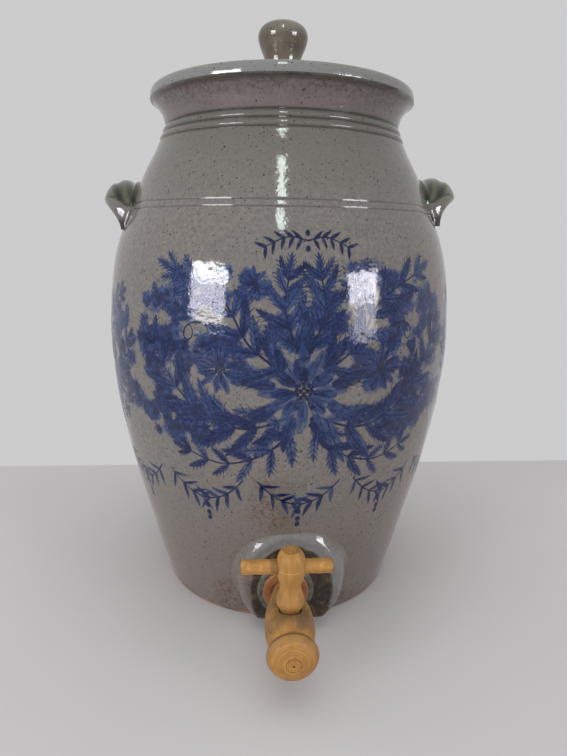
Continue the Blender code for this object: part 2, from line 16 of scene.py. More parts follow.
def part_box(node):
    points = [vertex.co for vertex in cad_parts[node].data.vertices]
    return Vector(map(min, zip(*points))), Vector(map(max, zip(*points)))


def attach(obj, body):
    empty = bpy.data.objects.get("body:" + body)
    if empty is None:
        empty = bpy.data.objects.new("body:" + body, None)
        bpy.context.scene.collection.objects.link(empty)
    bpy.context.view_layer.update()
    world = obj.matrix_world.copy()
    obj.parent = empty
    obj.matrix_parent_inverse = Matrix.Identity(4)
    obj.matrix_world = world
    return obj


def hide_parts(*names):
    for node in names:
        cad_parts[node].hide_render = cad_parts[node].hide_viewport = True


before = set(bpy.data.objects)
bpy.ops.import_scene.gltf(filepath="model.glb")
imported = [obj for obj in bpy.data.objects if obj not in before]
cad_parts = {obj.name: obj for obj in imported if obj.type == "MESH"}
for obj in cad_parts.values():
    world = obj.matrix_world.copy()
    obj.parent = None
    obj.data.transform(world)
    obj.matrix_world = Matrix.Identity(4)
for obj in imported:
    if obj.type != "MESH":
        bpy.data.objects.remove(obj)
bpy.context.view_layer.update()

# Sizes read from the frame
POT_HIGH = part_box("pot_body")[1]
BARREL_LOW, BARREL_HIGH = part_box("tap_barrel")
KEY_LOW, KEY_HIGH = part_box("tap_key")
BAR_LOW, BAR_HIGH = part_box("key_crossbar")
BOSS_LOW, BOSS_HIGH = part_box("tap_boss")
BUNG_LOW, BUNG_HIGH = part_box("bung_cork")
WASHER_LOW, WASHER_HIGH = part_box("seal_washer")
PLATE_LOW, PLATE_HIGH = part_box("lid_plate")
KNOB_LOW, KNOB_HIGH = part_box("lid_knob")

SKIN = 0.0002
BODY_HEIGHT = POT_HIGH.z
BELLY_RADIUS = POT_HIGH.x - SKIN
TAP_HEIGHT = (BARREL_LOW.z + BARREL_HIGH.z) / 2
TAP_RADIUS = (BARREL_HIGH.z - BARREL_LOW.z) / 2
KEY_REACH = -(KEY_LOW.y + KEY_HIGH.y) / 2
BAR_MIDDLE = (BAR_LOW + BAR_HIGH) / 2
BAR_RADIUS = (BAR_HIGH.z - BAR_LOW.z) / 2
BAR_HALF = (BAR_HIGH.x - BAR_LOW.x) / 2
BOSS_FACE = -BOSS_LOW.y
BOSS_SHIFT = (BOSS_LOW.x + BOSS_HIGH.x) / 2

# The pot's outline, as in the solid
FOOT_RADIUS = 0.0946
FOOT_ROUND = 0.0025
BELLY_HEIGHT = 0.201
NECK_RADIUS = 0.0873
NECK_HEIGHT = 0.3555
LIP_RADIUS = 0.0977
LIP_DROP = 0.006
LIP_SQUARENESS = 0.74
LIP_START = -6
LIP_UNDERCUT = 0.0002
RIM_TOP_RADIUS = 0.0930
WALL = 0.0083
FLOOR = 0.0100
FLOOR_ROUND = 0.0120
GALLERY_RADIUS = 0.0876
GALLERY_DEPTH = 0.0080
GALLERY_BEVEL = 0.001
LOWER_CURVE_SHARES = (
    (0.0, 0.0), (0.18, 0.12), (0.38, 0.28), (0.61, 0.46), (0.845, 0.68), (0.955, 0.85), (1.0, 1.0),
)
UPPER_CURVE_SHARES = (
    (0.0, 0.0), (0.022, 0.15), (0.085, 0.33), (0.21, 0.48), (0.405, 0.62), (0.64, 0.78),
    (0.84, 0.89), (1.0, 1.0),
)
FLARE_SHARES = ((0.20, 0.42), (0.56, 0.74))

# Turned lines: height, half-width and depth of each groove, then the two beads between them
NECK_GROOVES = ((0.3550, 0.0011, 0.0009), (0.3496, 0.0011, 0.0009), (0.3442, 0.0011, 0.0008))
SHOULDER_LINES = ((0.2996, 0.0007, 0.00045), (0.2953, 0.0007, 0.00045))
RIM_LINE = (0.3716, 0.0008, 0.0003)
NECK_BEADS = ((0.3523, 0.0022, 0.0006), (0.3469, 0.0022, 0.0006))
THROWING_DEPTH = 0.00003
THROWING_WAVES = ((620, 1.0, 0.0), (911, 0.6, 1.3), (1420, 0.5, 4.0))

POT_STEPS = 288
RING_PITCH = 0.0026
FINE_PITCH = 0.00035
TURNED_STEPS = 96
HOLE_STEPS = 64
POT_SHARP = 32
WELD = 1e-6


def catmull_rom(points, steps):
    """Smooth curve through points of any dimension, with the given steps from point to point."""
    points = np.array(points, float)
    padded = np.concatenate([points[:1], points, points[-1:]])
    before, start, end, after = (padded[first:first + len(points) - 1, None] for first in range(4))
    t = (np.arange(steps) / steps)[:, None]
    curve = (
        2 * start + (end - before) * t + (2 * before - 5 * start + 4 * end - after) * t ** 2
        + (3 * start - before - 3 * end + after) * t ** 3
    ) / 2
    return np.concatenate([curve.reshape(-1, points.shape[1]), points[-1:]])


def between(shares, start, end):
    """Points at shares of the way across and up from a start to an end."""
    return [
        (start[0] + (end[0] - start[0]) * wide, start[1] + (end[1] - start[1]) * high)
        for wide, high in shares
    ]


def arc(centre, radii, start, end, steps):
    """Part of a circle, or of an ellipse where two radii are given, between angles in degrees."""
    wide, tall = np.broadcast_to(radii, 2)
    turns = np.radians(np.linspace(start, end, steps + 1))
    return np.stack([centre[0] + wide * np.cos(turns), centre[1] + tall * np.sin(turns)], 1)


def base_curve():
    """The wall's smooth outer line from the foot to the neck, without lines or beads."""
    lower = between(LOWER_CURVE_SHARES, (FOOT_RADIUS, FOOT_ROUND), (BELLY_RADIUS, BELLY_HEIGHT))
    upper = between(UPPER_CURVE_SHARES, (BELLY_RADIUS, BELLY_HEIGHT), (NECK_RADIUS, NECK_HEIGHT))
    return catmull_rom(lower + upper[1:], 12)


BASE_CURVE = base_curve()


def wall_radius(height):
    return np.interp(height, BASE_CURVE[:, 1], BASE_CURVE[:, 0])


def turned_detail(height):
    """Radius that grooves, beads and throwing rings add at a height."""
    height = np.asarray(height, float)
    added = np.zeros_like(height)
    for middle, half, depth in NECK_GROOVES + SHOULDER_LINES + (RIM_LINE,):
        added -= depth * np.exp(-(((height - middle) / half) ** 2) * 1.6)
    for middle, half, depth in NECK_BEADS:
        added += depth * np.clip(1 - ((height - middle) / half) ** 2, 0, 1)
    rings = sum(size * np.sin(height * pitch + shift) for pitch, size, shift in THROWING_WAVES)
    fade = np.clip((NECK_HEIGHT - 0.02 - height) / 0.03, 0, 1)
    return added + THROWING_DEPTH * rings * fade


def wall_points(turn, height, lift):
    """Points lifted off the wall, at angles from the tap's side, and the wall's normals there."""
    slope = (wall_radius(height + 0.002) - wall_radius(height - 0.002)) / 0.004
    steep = 1 / np.sqrt(1 + slope ** 2)
    out = wall_radius(height) + turned_detail(height) + lift * steep
    points = np.stack([out * np.sin(turn), -out * np.cos(turn), height - lift * slope * steep], -1)
    normals = np.stack([np.sin(turn), -np.cos(turn), -slope], -1) * steep[..., None]
    return points.reshape(-1, 3), normals.reshape(-1, 3)


def feature_heights(low, high):
    """Heights for the outline's points: close together at the turned lines, wider elsewhere."""
    heights = list(np.arange(low, high, RING_PITCH))
    for middle, half, depth in NECK_GROOVES + SHOULDER_LINES + NECK_BEADS:
        heights += list(np.arange(middle - 2 * half, middle + 2 * half, FINE_PITCH))
    heights = sorted(h for h in heights if low <= h <= high)
    kept = [heights[0]]
    for height in heights:
        if height - kept[-1] > FINE_PITCH * 0.8:
            kept.append(height)
    return np.array(kept)


def pot_outline():
    """The pot's whole outline: from the underside's middle, up the outside and down the inside."""
    foot = arc((FOOT_RADIUS - FOOT_ROUND, FOOT_ROUND), FOOT_ROUND, -90, -4, 8)
    heights = feature_heights(FOOT_ROUND, NECK_HEIGHT)
    wall = np.stack([wall_radius(heights) + turned_detail(heights), heights], 1)
    neck = (NECK_RADIUS, NECK_HEIGHT)
    lip = (LIP_RADIUS, BODY_HEIGHT - LIP_DROP)
    flare = catmull_rom([neck] + between(FLARE_SHARES, neck, lip) + [lip], 14)[1:]
    flare[:, 0] += turned_detail(flare[:, 1])
    turns = np.radians(np.linspace(LIP_START, 90, 26))
    roll = np.stack([
        RIM_TOP_RADIUS + (LIP_RADIUS - RIM_TOP_RADIUS) * np.cos(turns) ** LIP_SQUARENESS,
        lip[1] + LIP_DROP * np.sign(turns) * np.abs(np.sin(turns)) ** LIP_SQUARENESS,
    ], 1)
    flare = flare[flare[:, 1] < roll[0, 1] - LIP_UNDERCUT]
    rim = arc((RIM_TOP_RADIUS, lip[1]), (RIM_TOP_RADIUS - GALLERY_RADIUS, LIP_DROP), 96, 180, 12)
    ledge = BODY_HEIGHT - GALLERY_DEPTH
    throat = NECK_RADIUS - WALL
    gallery = [
        (GALLERY_RADIUS, ledge + GALLERY_BEVEL), (GALLERY_RADIUS - GALLERY_BEVEL, ledge),
        (throat + GALLERY_BEVEL, ledge), (throat, ledge - GALLERY_BEVEL),
    ]
    belly = (BELLY_RADIUS - WALL, BELLY_HEIGHT)
    upper = between(UPPER_CURVE_SHARES, belly, (throat, NECK_HEIGHT))
    lower = between(LOWER_CURVE_SHARES, (FOOT_RADIUS - WALL, FLOOR), belly)
    inside = catmull_rom(lower[1:] + upper[1:], 6)[::-1]
    floor_round = arc((inside[-1][0] - FLOOR_ROUND, FLOOR + FLOOR_ROUND), FLOOR_ROUND, -12, -90, 8)
    return np.concatenate([
        [(0.0, 0.0), (FOOT_RADIUS * 0.6, 0.0)], foot, wall, flare, roll, rim, gallery,
        inside, floor_round, [(0.04, FLOOR), (0.0, FLOOR)],
    ])


def quads(rows, columns, wrap):
    """Corner numbers of the quads between rows of points; wrap closes each row into a ring."""
    across = columns if wrap else columns - 1
    row, column = np.meshgrid(np.arange(rows - 1), np.arange(across), indexing="ij")
    following = (column + 1) % columns
    start = row * columns
    above = start + columns
    return np.stack([start + column, start + following, above + following, above + column], -1).reshape(-1, 4)


def grid_mesh(name, points, caps=False):
    """A mesh of quads through rings of points."""
    points = np.asarray(points, float)
    rows, columns = points.shape[:2]
    faces = quads(rows, columns, True).tolist()
    if caps:
        faces.append(list(range(columns))[::-1])
        faces.append([(rows - 1) * columns + place for place in range(columns)])
    mesh = bpy.data.meshes.new(name)
    mesh.from_pydata(points.reshape(-1, 3).tolist(), [], faces)
    return mesh


def smooth(mesh, sharp):
    """Shade a mesh smooth up to an edge angle in degrees."""
    mesh.shade_smooth()
    mesh.set_sharp_from_angle(angle=math.radians(sharp))
    return mesh


def tidy(mesh, sharp=POT_SHARP):
    """Weld points that meet, face everything outwards and shade smooth up to an edge angle."""
    shape = bmesh.new()
    shape.from_mesh(mesh)
    bmesh.ops.remove_doubles(shape, verts=shape.verts, dist=WELD)
    bmesh.ops.dissolve_degenerate(shape, edges=shape.edges, dist=WELD)
    bmesh.ops.recalc_face_normals(shape, faces=shape.faces)
    shape.to_mesh(mesh)
    shape.free()
    return smooth(mesh, sharp)


def turned_mesh(name, outline, steps, sharp=POT_SHARP):
    """Turn an outline of (radius, height) about Z."""
    outline = np.asarray(outline, float)
    radii, heights = outline[:, :1], outline[:, 1:]
    turns = np.linspace(0, math.tau, steps, endpoint=False)
    points = np.stack([radii * np.cos(turns), radii * np.sin(turns), np.repeat(heights, steps, 1)], -1)
    return tidy(grid_mesh(name, points), sharp)


def placed(mesh, place, turn, axis):
    """The mesh turned by an angle in degrees about an axis, and moved to a place."""
    mesh.transform(Matrix.Translation(place) @ Matrix.Rotation(math.radians(turn), 4, axis))
    return mesh


def along_tap(mesh):
    return placed(mesh, (0, 0, TAP_HEIGHT), 90, "X")


def rod(radius, half):
    """Outline of a straight rod or hole."""
    return [(0, half), (radius, half), (radius, -half), (0, -half)]


def add_object(name, data):
    thing = bpy.data.objects.new(name, data)
    bpy.context.scene.collection.objects.link(thing)
    return thing


def bored(mesh, hole, sharp):
    """The mesh with the hole's mesh taken away, shaded smooth up to an edge angle."""
    target = add_object("cut_target", mesh)
    tool = add_object("cut_tool", hole)
    carve = target.modifiers.new("Cut", "BOOLEAN")
    carve.operation = "DIFFERENCE"
    carve.solver = "EXACT"
    carve.object = tool
    made = bpy.data.meshes.new_from_object(target.evaluated_get(bpy.context.evaluated_depsgraph_get()))
    bpy.data.objects.remove(target)
    bpy.data.objects.remove(tool)
    return smooth(made, sharp)


def mark(mesh, name, values):
    """Give each point of a mesh a number or a vector, which its material reads by name."""
    values = np.asarray(values, np.float32)
    kind, field = ("FLOAT", "value") if values.ndim == 1 else ("FLOAT_VECTOR", "vector")
    mesh.attributes.new(name, kind, "POINT").data.foreach_set(field, values.ravel())


def add_piece(name, mesh, material, body, slot, *nodes):
    """Put a piece in the scene, on its body, in place of its solids."""
    mesh.materials.clear()
    mesh.materials.append(material)
    piece = add_object(name, mesh)
    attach(piece, body)
    if nodes:
        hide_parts(*nodes)
    return piece


class Value:
    """A node's output. Arithmetic on it, and the calls below, add the nodes that follow it."""

    def __init__(self, tree, socket):
        self.tree = tree
        self.socket = socket

    def __add__(self, other):
        return self.tree.math("ADD", self, other)

    def __sub__(self, other):
        return self.tree.math("SUBTRACT", self, other)

    def __mul__(self, other):
        return self.tree.math("MULTIPLY", self, other)

    def __truediv__(self, other):
        return self.tree.math("DIVIDE", self, other)

    def __abs__(self):
        return self.tree.math("ABSOLUTE", self)

    def larger(self, other):
        return self.tree.math("MAXIMUM", self, other)

    def span(self, low, high, to_low=0.0, to_high=1.0, kind="SMOOTHSTEP"):
        """How far the value is from low to high, as 0 to 1 or on the way between two other numbers."""
        inputs = {0: self, 1: low, 2: high, 3: to_low, 4: to_high}
        return self.tree.node("MapRange", inputs, interpolation_type=kind)

    def band(self, rise, fall):
        """1 between a rise and a fall, each given as where it starts and where it ends."""
        return self.span(*rise) * self.span(*fall)

    def mix(self, first, second):
        """The first colour where the value is 0, and the second where it is 1."""
        return self.tree.mix(self, first, second)

    def vector(self, operation, by):
        return self.tree.node("VectorMath", {0: self, 1: by}, operation=operation)

    def parts(self):
        first = self.tree.node("SeparateXYZ", {0: self})
        return [Value(self.tree, output) for output in first.socket.node.outputs]

    def noise(self, scale, detail=3.0, rough=0.55, warp=0.0):
        inputs = {"Vector": self, "Scale": scale, "Detail": detail, "Roughness": rough, "Distortion": warp}
        return self.tree.node("TexNoise", inputs)

    def cells(self, scale):
        """Distance to the nearest of scattered points, in cells, and a random number for each."""
        near = self.tree.node("TexVoronoi", {"Vector": self, "Scale": scale}, "Distance", feature="F1")
        return near, Value(self.tree, near.socket.node.outputs["Color"]).parts()[0]

    def specks(self, scale, share, size):
        """1 inside round specks: share of the cells hold one, up to a size in cells."""
        away, chance = self.cells(scale)
        radius = chance.span(1 - share, 1.0, 0.0, size, "LINEAR")
        return (radius - away).span(0.0, size * 0.35)


class Tree:
    """The node tree of a new material or world, with short calls for the nodes used here."""

    def __init__(self, name, owners=bpy.data.materials):
        self.owner = owners.new(name)
        self.owner.use_nodes = True
        self.nodes = self.owner.node_tree.nodes

    def feed(self, socket, given):
        """Link a value to a socket, or set the socket's own number, vector or colour."""
        given = getattr(given, "socket", given)
        if isinstance(given, bpy.types.NodeSocket):
            self.owner.node_tree.links.new(given, socket)
        elif socket.type == "RGBA":
            socket.default_value = (*given, 1.0)
        else:
            socket.default_value = given

    def feed_all(self, node, inputs):
        for place, given in inputs.items():
            self.feed(node.inputs[place], given)

    def node(self, kind, inputs, output=0, **settings):
        """Add a node, make its settings, feed its inputs and give back one of its outputs."""
        node = self.nodes.new("ShaderNode" + kind)
        for name, setting in settings.items():
            setattr(node, name, setting)
        self.feed_all(node, inputs)
        return Value(self, node.outputs[output])

    def math(self, operation, first, second=0.0):
        return self.node("Math", {0: first, 1: second}, operation=operation)

    def mix(self, share, first, second, blend="MIX"):
        inputs = {0: share, 6: first, 7: second}
        return self.node("Mix", inputs, 2, data_type="RGBA", blend_type=blend, clamp_factor=True)

    def distance(self, across, up):
        return self.math("SQRT", across * across + up * up)

    def place(self, location=(0, 0, 0), rotation=(0, 0, 0)):
        """Object coordinates, moved and then turned."""
        moved = self.node("TexCoord", {}, "Object").vector("ADD", location)
        return self.node("Mapping", {0: moved, "Rotation": rotation})

    def combine(self, x, y, z=0.0):
        return self.node("CombineXYZ", {0: x, 1: y, 2: z})

    def attribute(self, name, output="Fac"):
        return self.node("Attribute", {}, output, attribute_type="GEOMETRY", attribute_name=name)

    def bump(self, height, strength, distance, **under):
        return self.node("Bump", {"Height": height, "Strength": strength, "Distance": distance, **under})

    def finish(self, colour, rough, ior=1.55, gloss=0.5, **more):
        """Feed the shader and give back the material."""
        inputs = {"Base Color": colour, "Roughness": rough, "IOR": ior, "Specular IOR Level": gloss}
        self.feed_all(self.nodes["Principled BSDF"], inputs | more)
        return self.owner


# Colours, as linear values
GREY_WARM = (0.218, 0.196, 0.177)
GREY_COOL = (0.202, 0.192, 0.174)
GREY_GREEN = (0.166, 0.155, 0.132)
GREY_LOW = (0.207, 0.170, 0.146)
BAND_PINK = (0.200, 0.168, 0.158)
RIM_GREEN = (0.250, 0.254, 0.238)
# Dark brown of the blotches below the rim, also used for painted shade under the lip and in the grooves
RIM_BROWN_AND_SHADE = (0.062, 0.046, 0.036)
# Brown of the glaze's dark specks, also used for painted shade at the handles' tips
SPECK_BROWN_AND_SHADE = (0.026, 0.017, 0.012)
STAIN_RUST = (0.120, 0.060, 0.022)
FOOT_CLAY = (0.340, 0.145, 0.080)
FOOT_BROWN = (0.110, 0.070, 0.048)
KNOB_BROWN = (0.158, 0.127, 0.094)
KNOB_GREY = (0.236, 0.207, 0.165)
HANDLE_GREEN = (0.060, 0.066, 0.038)
# Painted shade in the valleys between the handles' ribs
HANDLE_VALLEY_SHADE = (0.018, 0.021, 0.012)
# Painted highlight on the ribs' ridges
HANDLE_RIDGE_HIGHLIGHT = (0.128, 0.134, 0.092)
HANDLE_LEG = (0.176, 0.168, 0.150)
# Pale glaze round the tap, mixed with painted light and reflection
BOSS_PALE_AND_LIGHT = (0.250, 0.262, 0.258)
BOSS_STAIN = (0.020, 0.012, 0.006)
BOSS_DIRT = (0.120, 0.080, 0.042)
COBALT_DARK = (0.004, 0.009, 0.050)
COBALT_MID = (0.010, 0.030, 0.130)
COBALT_LIGHT = (0.060, 0.100, 0.225)
WOOD_HONEY = (0.540, 0.285, 0.082)
WOOD_DEEP = (0.370, 0.165, 0.038)
WOOD_GREY = (0.215, 0.135, 0.068)
WOOD_PALE = (0.700, 0.440, 0.170)
# Dark grime, also used for painted shade in the groove behind the tap's button
GRIME_AND_SHADE = (0.065, 0.040, 0.020)
CORK_ORANGE = (0.380, 0.150, 0.046)
CORK_DEEP = (0.260, 0.095, 0.030)
CORK_DARK = (0.110, 0.046, 0.020)
WASHER_GREEN = (0.150, 0.142, 0.106)
WASHER_DARK = (0.032, 0.027, 0.020)
WASHER_CRUST = (0.270, 0.256, 0.216)

GLAZE_ROUGH = 0.07
GLAZE_GLOSS = 0.40
WOOD_IOR = 1.45
WOOD_GLOSS = 0.22

# Heights in the pot's glaze: where each change starts and where it ends
NECK_GREEN = (0.285, 0.345)
FOOT_TINT = (0.150, 0.050)
COBALT_THINS = (0.180, 0.250)
BAND_RISE = (0.3552, 0.3572)
BAND_FALL = (0.3716, 0.3705)
# Heights over which the band's brown blotches deepen into painted shade under the lip
BAND_BURNT_AND_SHADE = (0.358, 0.370)
RIM_GLAZE = (0.3712, 0.3728)
# Where the painted shade line under the lip roll rises and falls
RIM_SHADE_RISE = (0.3685, 0.3712)
RIM_SHADE_FALL = (0.3733, 0.3716)
BARE_FOOT = (0.0030, 0.0014)

# The same for the boss's glaze, as distances from the tap's axis, and for the barrel, as places
# behind its tip
BOSS_RING_RISE = (0.0278, 0.0300)
BOSS_RING_FALL = (0.0425, 0.0365)
BOSS_STAIN_EDGE = (0.0300, 0.0276)
BARREL_BODY = (0.016, 0.022)
BARREL_NOSE = (0.0088, 0.0078)
# Where the painted shade in the groove behind the button rises and falls
BUTTON_RISE = (0.0072, 0.0084)
BUTTON_FALL = (0.0112, 0.0098)

# Rusty stains in front: place across, height, half sizes across and up, and strength
STAINS = (
    (-0.016, 0.112, 0.012, 0.024, 0.55), (-0.012, 0.093, 0.020, 0.016, 0.60),
    (-0.040, 0.018, 0.016, 0.022, 0.75), (0.040, 0.012, 0.030, 0.012, 0.60),
    (-0.030, 0.052, 0.012, 0.020, 0.35), (0.0, 0.010, 0.062, 0.010, 0.55),
)
KEY_TOP_RINGS = (0.0017, 0.0037, 0.0050)
NOSE_RING = 0.0044


def glaze_base(name):
    """Speckled grey glaze: its tree, the frame's coordinates, its colour and its dark specks."""
    tree = Tree(name)
    at = tree.place()
    colour = at.noise(16).span(0.35, 0.65).mix(GREY_WARM, GREY_COOL)
    mottle = at.noise(420, 4.0, 0.7).span(0.25, 0.75, 0.70, 1.30, "LINEAR")
    colour = tree.mix(1.0, colour, mottle, "MULTIPLY")
    dark = (at.specks(900, 0.60, 0.46) * 0.55).larger(at.specks(430, 0.60, 0.32) * 0.90)
    return tree, at, colour, dark.larger(at.specks(125, 0.90, 0.115))


def glazed(tree, at, colour, rough=GLAZE_ROUGH, **more):
    """A glaze's shiny surface, with gentle waves and fine pores in it."""
    waves = tree.bump(at.noise(215, 2.0, 0.45), 0.5, 0.00027)
    skin = tree.bump(at.noise(900, 2.0, 0.5), 0.25, 0.00008, Normal=waves)
    return tree.finish(colour, rough, gloss=GLAZE_GLOSS, Normal=skin, **more)


def pot_glaze():
    """The pot's own glaze: grey wall, green neck and rim, pink band with brown blotches, painted shade under
    the lip and in the grooves, stains and a bare foot.
    """
    tree, at, colour, dark = glaze_base("stoneware_glaze")
    height = at.parts()[2]
    drift = at.noise(30)
    level = height + (drift - 0.5) * 0.006
    colour = level.span(*NECK_GREEN, 0.0, 0.80).mix(colour, GREY_GREEN)
    colour = level.span(*FOOT_TINT, 0.0, 0.75).mix(colour, GREY_LOW)
    colour = cobalt_wash(tree, at, colour)
    rim_level = height + (at.noise(120) - 0.5) * 0.0016
    band = rim_level.band(BAND_RISE, BAND_FALL)
    colour = (band * 0.85).mix(colour, BAND_PINK)
    # Brown blotches in the band, made darker towards the lip as painted shade under it
    burnt_and_shade = band * at.noise(330, 4.0, 0.75).span(0.34, 0.70, 0.0, 0.85)
    colour = (burnt_and_shade * height.span(*BAND_BURNT_AND_SHADE, 0.12, 1.0)).mix(colour, RIM_BROWN_AND_SHADE)
    colour = rim_level.span(*RIM_GLAZE).mix(colour, RIM_GREEN)
    # Painted shade: a dark line along the lip roll's lower edge, where shade falls under the lip
    line = rim_level.band(RIM_SHADE_RISE, RIM_SHADE_FALL)
    colour = (line * 0.90).mix(colour, RIM_BROWN_AND_SHADE)
    # Painted shade: the neck grooves and shoulder lines are darkened along their middles
    for lines, wide, strength in ((NECK_GROOVES, 0.8, 0.80), (SHOULDER_LINES, 1.0, 0.45)):
        for middle, half, depth in lines:
            near = abs(height - middle).span(half * wide, half * 0.2, 0.0, strength)
            colour = near.mix(colour, RIM_BROWN_AND_SHADE)
    colour = stains(at, dark.mix(colour, SPECK_BROWN_AND_SHADE))
    bare = level.span(*BARE_FOOT)
    colour = bare.mix(colour, drift.span(0.42, 0.58).mix(FOOT_CLAY, FOOT_BROWN))
    return glazed(tree, at, colour, bare.span(0.0, 1.0, GLAZE_ROUGH, 0.75))


def cobalt_wash(tree, at, colour):
    """Cobalt dabbed on with a sponge behind the brushed strokes, where the mesh says wash."""
    wash = tree.attribute("wash")
    height = at.parts()[2]
    spread = wash + (at.noise(150, 3.0, 0.62) - 0.5) * 1.3 + (at.noise(620, 3.0, 0.7) - 0.5) * 0.8
    spread = spread - height.span(*COBALT_THINS, 0.0, 0.10)
    shown = spread.span(0.36, 0.66, 0.0, 0.97) * wash.span(0.05, 0.25)
    depth = at.noise(210, 4.0, 0.75) + wash * 0.20 - height.span(*COBALT_THINS, 0.0, 0.05)
    blue = depth.span(0.46, 0.62).mix(COBALT_LIGHT, COBALT_MID)
    return shown.mix(colour, depth.span(0.60, 0.76).mix(blue, COBALT_DARK))


def stains(at, colour):
    """Rusty seepage round the tap, above it and along the foot in front."""
    x, y, height = at.parts()
    front = y.span(-0.02, -0.08)
    patch = at.noise(320, 4.0, 0.8).span(0.46, 0.60)
    for across, level, wide, tall, strength in STAINS:
        side = (x - across) / wide
        rise = (height - level) / tall
        near = (side * side + rise * rise).span(1.0, 0.0)
        colour = (near * patch * front * strength).mix(colour, STAIN_RUST)
    return colour


def handle_glaze():
    """Green glaze with painted shade in the valleys between the ribs and painted highlights on their ridges,
    that turns grey down the legs, with painted shade at the tips.

    The mesh's attribute "strap" holds the valley, the ridge and the way to the ribs' end, and
    "arch" falls to 0 at the tips.
    """
    tree, at, colour, dark = glaze_base("handle_glaze")
    valley, ridge, rise = tree.attribute("strap", "Vector").parts()
    uneven = (at.noise(140, 2.0) - 0.5) * 0.10
    # Painted highlights on the ridges and painted shade in the valleys between the ribs
    glaze = ridge.span(0.55, 1.0).mix(HANDLE_GREEN, HANDLE_RIDGE_HIGHLIGHT)
    glaze = (valley + uneven * 2.0).span(0.35, 0.85).mix(glaze, HANDLE_VALLEY_SHADE)
    colour = (rise + uneven * 0.4).span(0.0, 0.05).mix(tree.mix(0.6, colour, HANDLE_LEG), glaze)
    # Painted shade at the strap's tips, where they tuck into the wall
    tip = tree.attribute("arch").span(0.16, 0.05)
    colour = (tip * 0.88).mix(colour, SPECK_BROWN_AND_SHADE)
    return glazed(tree, at, dark.mix(colour, SPECK_BROWN_AND_SHADE))


def knob_glaze():
    tree, at, colour, dark = glaze_base("knob_glaze")
    colour = at.noise(70).span(0.3, 0.7).mix(KNOB_BROWN, KNOB_GREY)
    colour = at.parts()[2].span(0.426, 0.431, 0.0, 0.5).mix(colour, GREY_COOL)
    return glazed(tree, at, dark.mix(colour, SPECK_BROWN_AND_SHADE))


def lid_glaze():
    tree, at, colour, dark = glaze_base("lid_glaze")
    colour = at.parts()[2].span(0.376, 0.386, 0.25, 0.7).mix(colour, RIM_GREEN)
    return glazed(tree, at, dark.mix(colour, SPECK_BROWN_AND_SHADE))


def ring_distance(tree, at, across=0.0, above=1.0, below=1.0):
    """Distance from a line beside the tap's axis, with shares for the way above and below it."""
    x, y, height = at.parts()
    rise = height - TAP_HEIGHT
    return tree.distance(x - across, rise.larger(0.0) * above + tree.math("MINIMUM", rise, 0.0) * below)


def boss_glaze():
    """Pale glaze round the tap with painted light and reflection on it, strongest at its upper right and
    fading out at its left and below, and a dark stained face.
    """
    tree, at, colour, dark = glaze_base("boss_glaze")
    x, y, height = at.parts()
    ragged = (at.noise(80) - 0.5) * 0.005
    away = ring_distance(tree, at, BOSS_SHIFT, BOSS_TALL, BOSS_STAIN_LOW) + ragged
    colour = (dark * 0.6).mix(tree.mix(0.6, colour, GREY_LOW), SPECK_BROWN_AND_SHADE)
    pale = away.band(BOSS_RING_RISE, BOSS_RING_FALL)
    # Pale glaze with painted light and reflection: strongest towards the upper right, fading out below the
    # tap
    pale_glaze_and_light = (x + (height - TAP_HEIGHT)).span(-0.020, 0.026, 0.0, 0.90)
    pale_glaze_and_light = pale_glaze_and_light * at.noise(210, 3.0, 0.7).span(0.30, 0.62, 0.55, 1.0)
    pale_glaze_and_light = pale_glaze_and_light * height.span(TAP_HEIGHT - 0.020, TAP_HEIGHT + 0.002)
    colour = (pale * pale_glaze_and_light).mix(colour, BOSS_PALE_AND_LIGHT)
    inside = away.span(*BOSS_STAIN_EDGE)
    dirt = at.noise(210, 4.0, 0.75).span(0.46, 0.70).mix(BOSS_STAIN, BOSS_DIRT)
    colour = stains(at, (inside * 0.97).mix(colour, dirt))
    colour = height.span(0.0034, 0.0016).mix(colour, FOOT_CLAY)
    return glazed(tree, at, colour, inside.span(0.0, 1.0, GLAZE_ROUGH, 0.38))


def cobalt_paint():
    """Brushed cobalt under the glaze: the stroke's own attribute gives its tone and fading edge."""
    tree, at, colour, dark = glaze_base("cobalt_paint")
    across, along, tone = tree.attribute("stroke", "Vector").parts()
    height = at.parts()[2]
    ragged = at.noise(900, 3.0, 0.7) - 0.5
    blotch = at.noise(190, 4.0, 0.65)
    bristle = tree.combine(across * 7.0, along * 1.6, height * 25.0).noise(1.0, 3.0, 0.6)
    cover = (abs(across * 2.0 - 1.0) + ragged * 0.55).span(1.0, 0.62)
    cover = cover * blotch.span(0.28, 0.50, 0.55, 1.0) * tone.span(0.0, 0.60, 0.45, 1.0, "LINEAR")
    pool = tone + (blotch - 0.5) * 0.9 + (bristle - 0.5) * 1.5 + ragged * 0.3
    pool = pool - height.span(*COBALT_THINS, 0.0, 0.14)
    colour = pool.span(0.15, 0.50).mix(COBALT_LIGHT, COBALT_MID)
    colour = pool.span(0.45, 0.85).mix(colour, COBALT_DARK)
    return glazed(tree, at, (dark * 0.7).mix(colour, SPECK_BROWN_AND_SHADE), Alpha=cover)


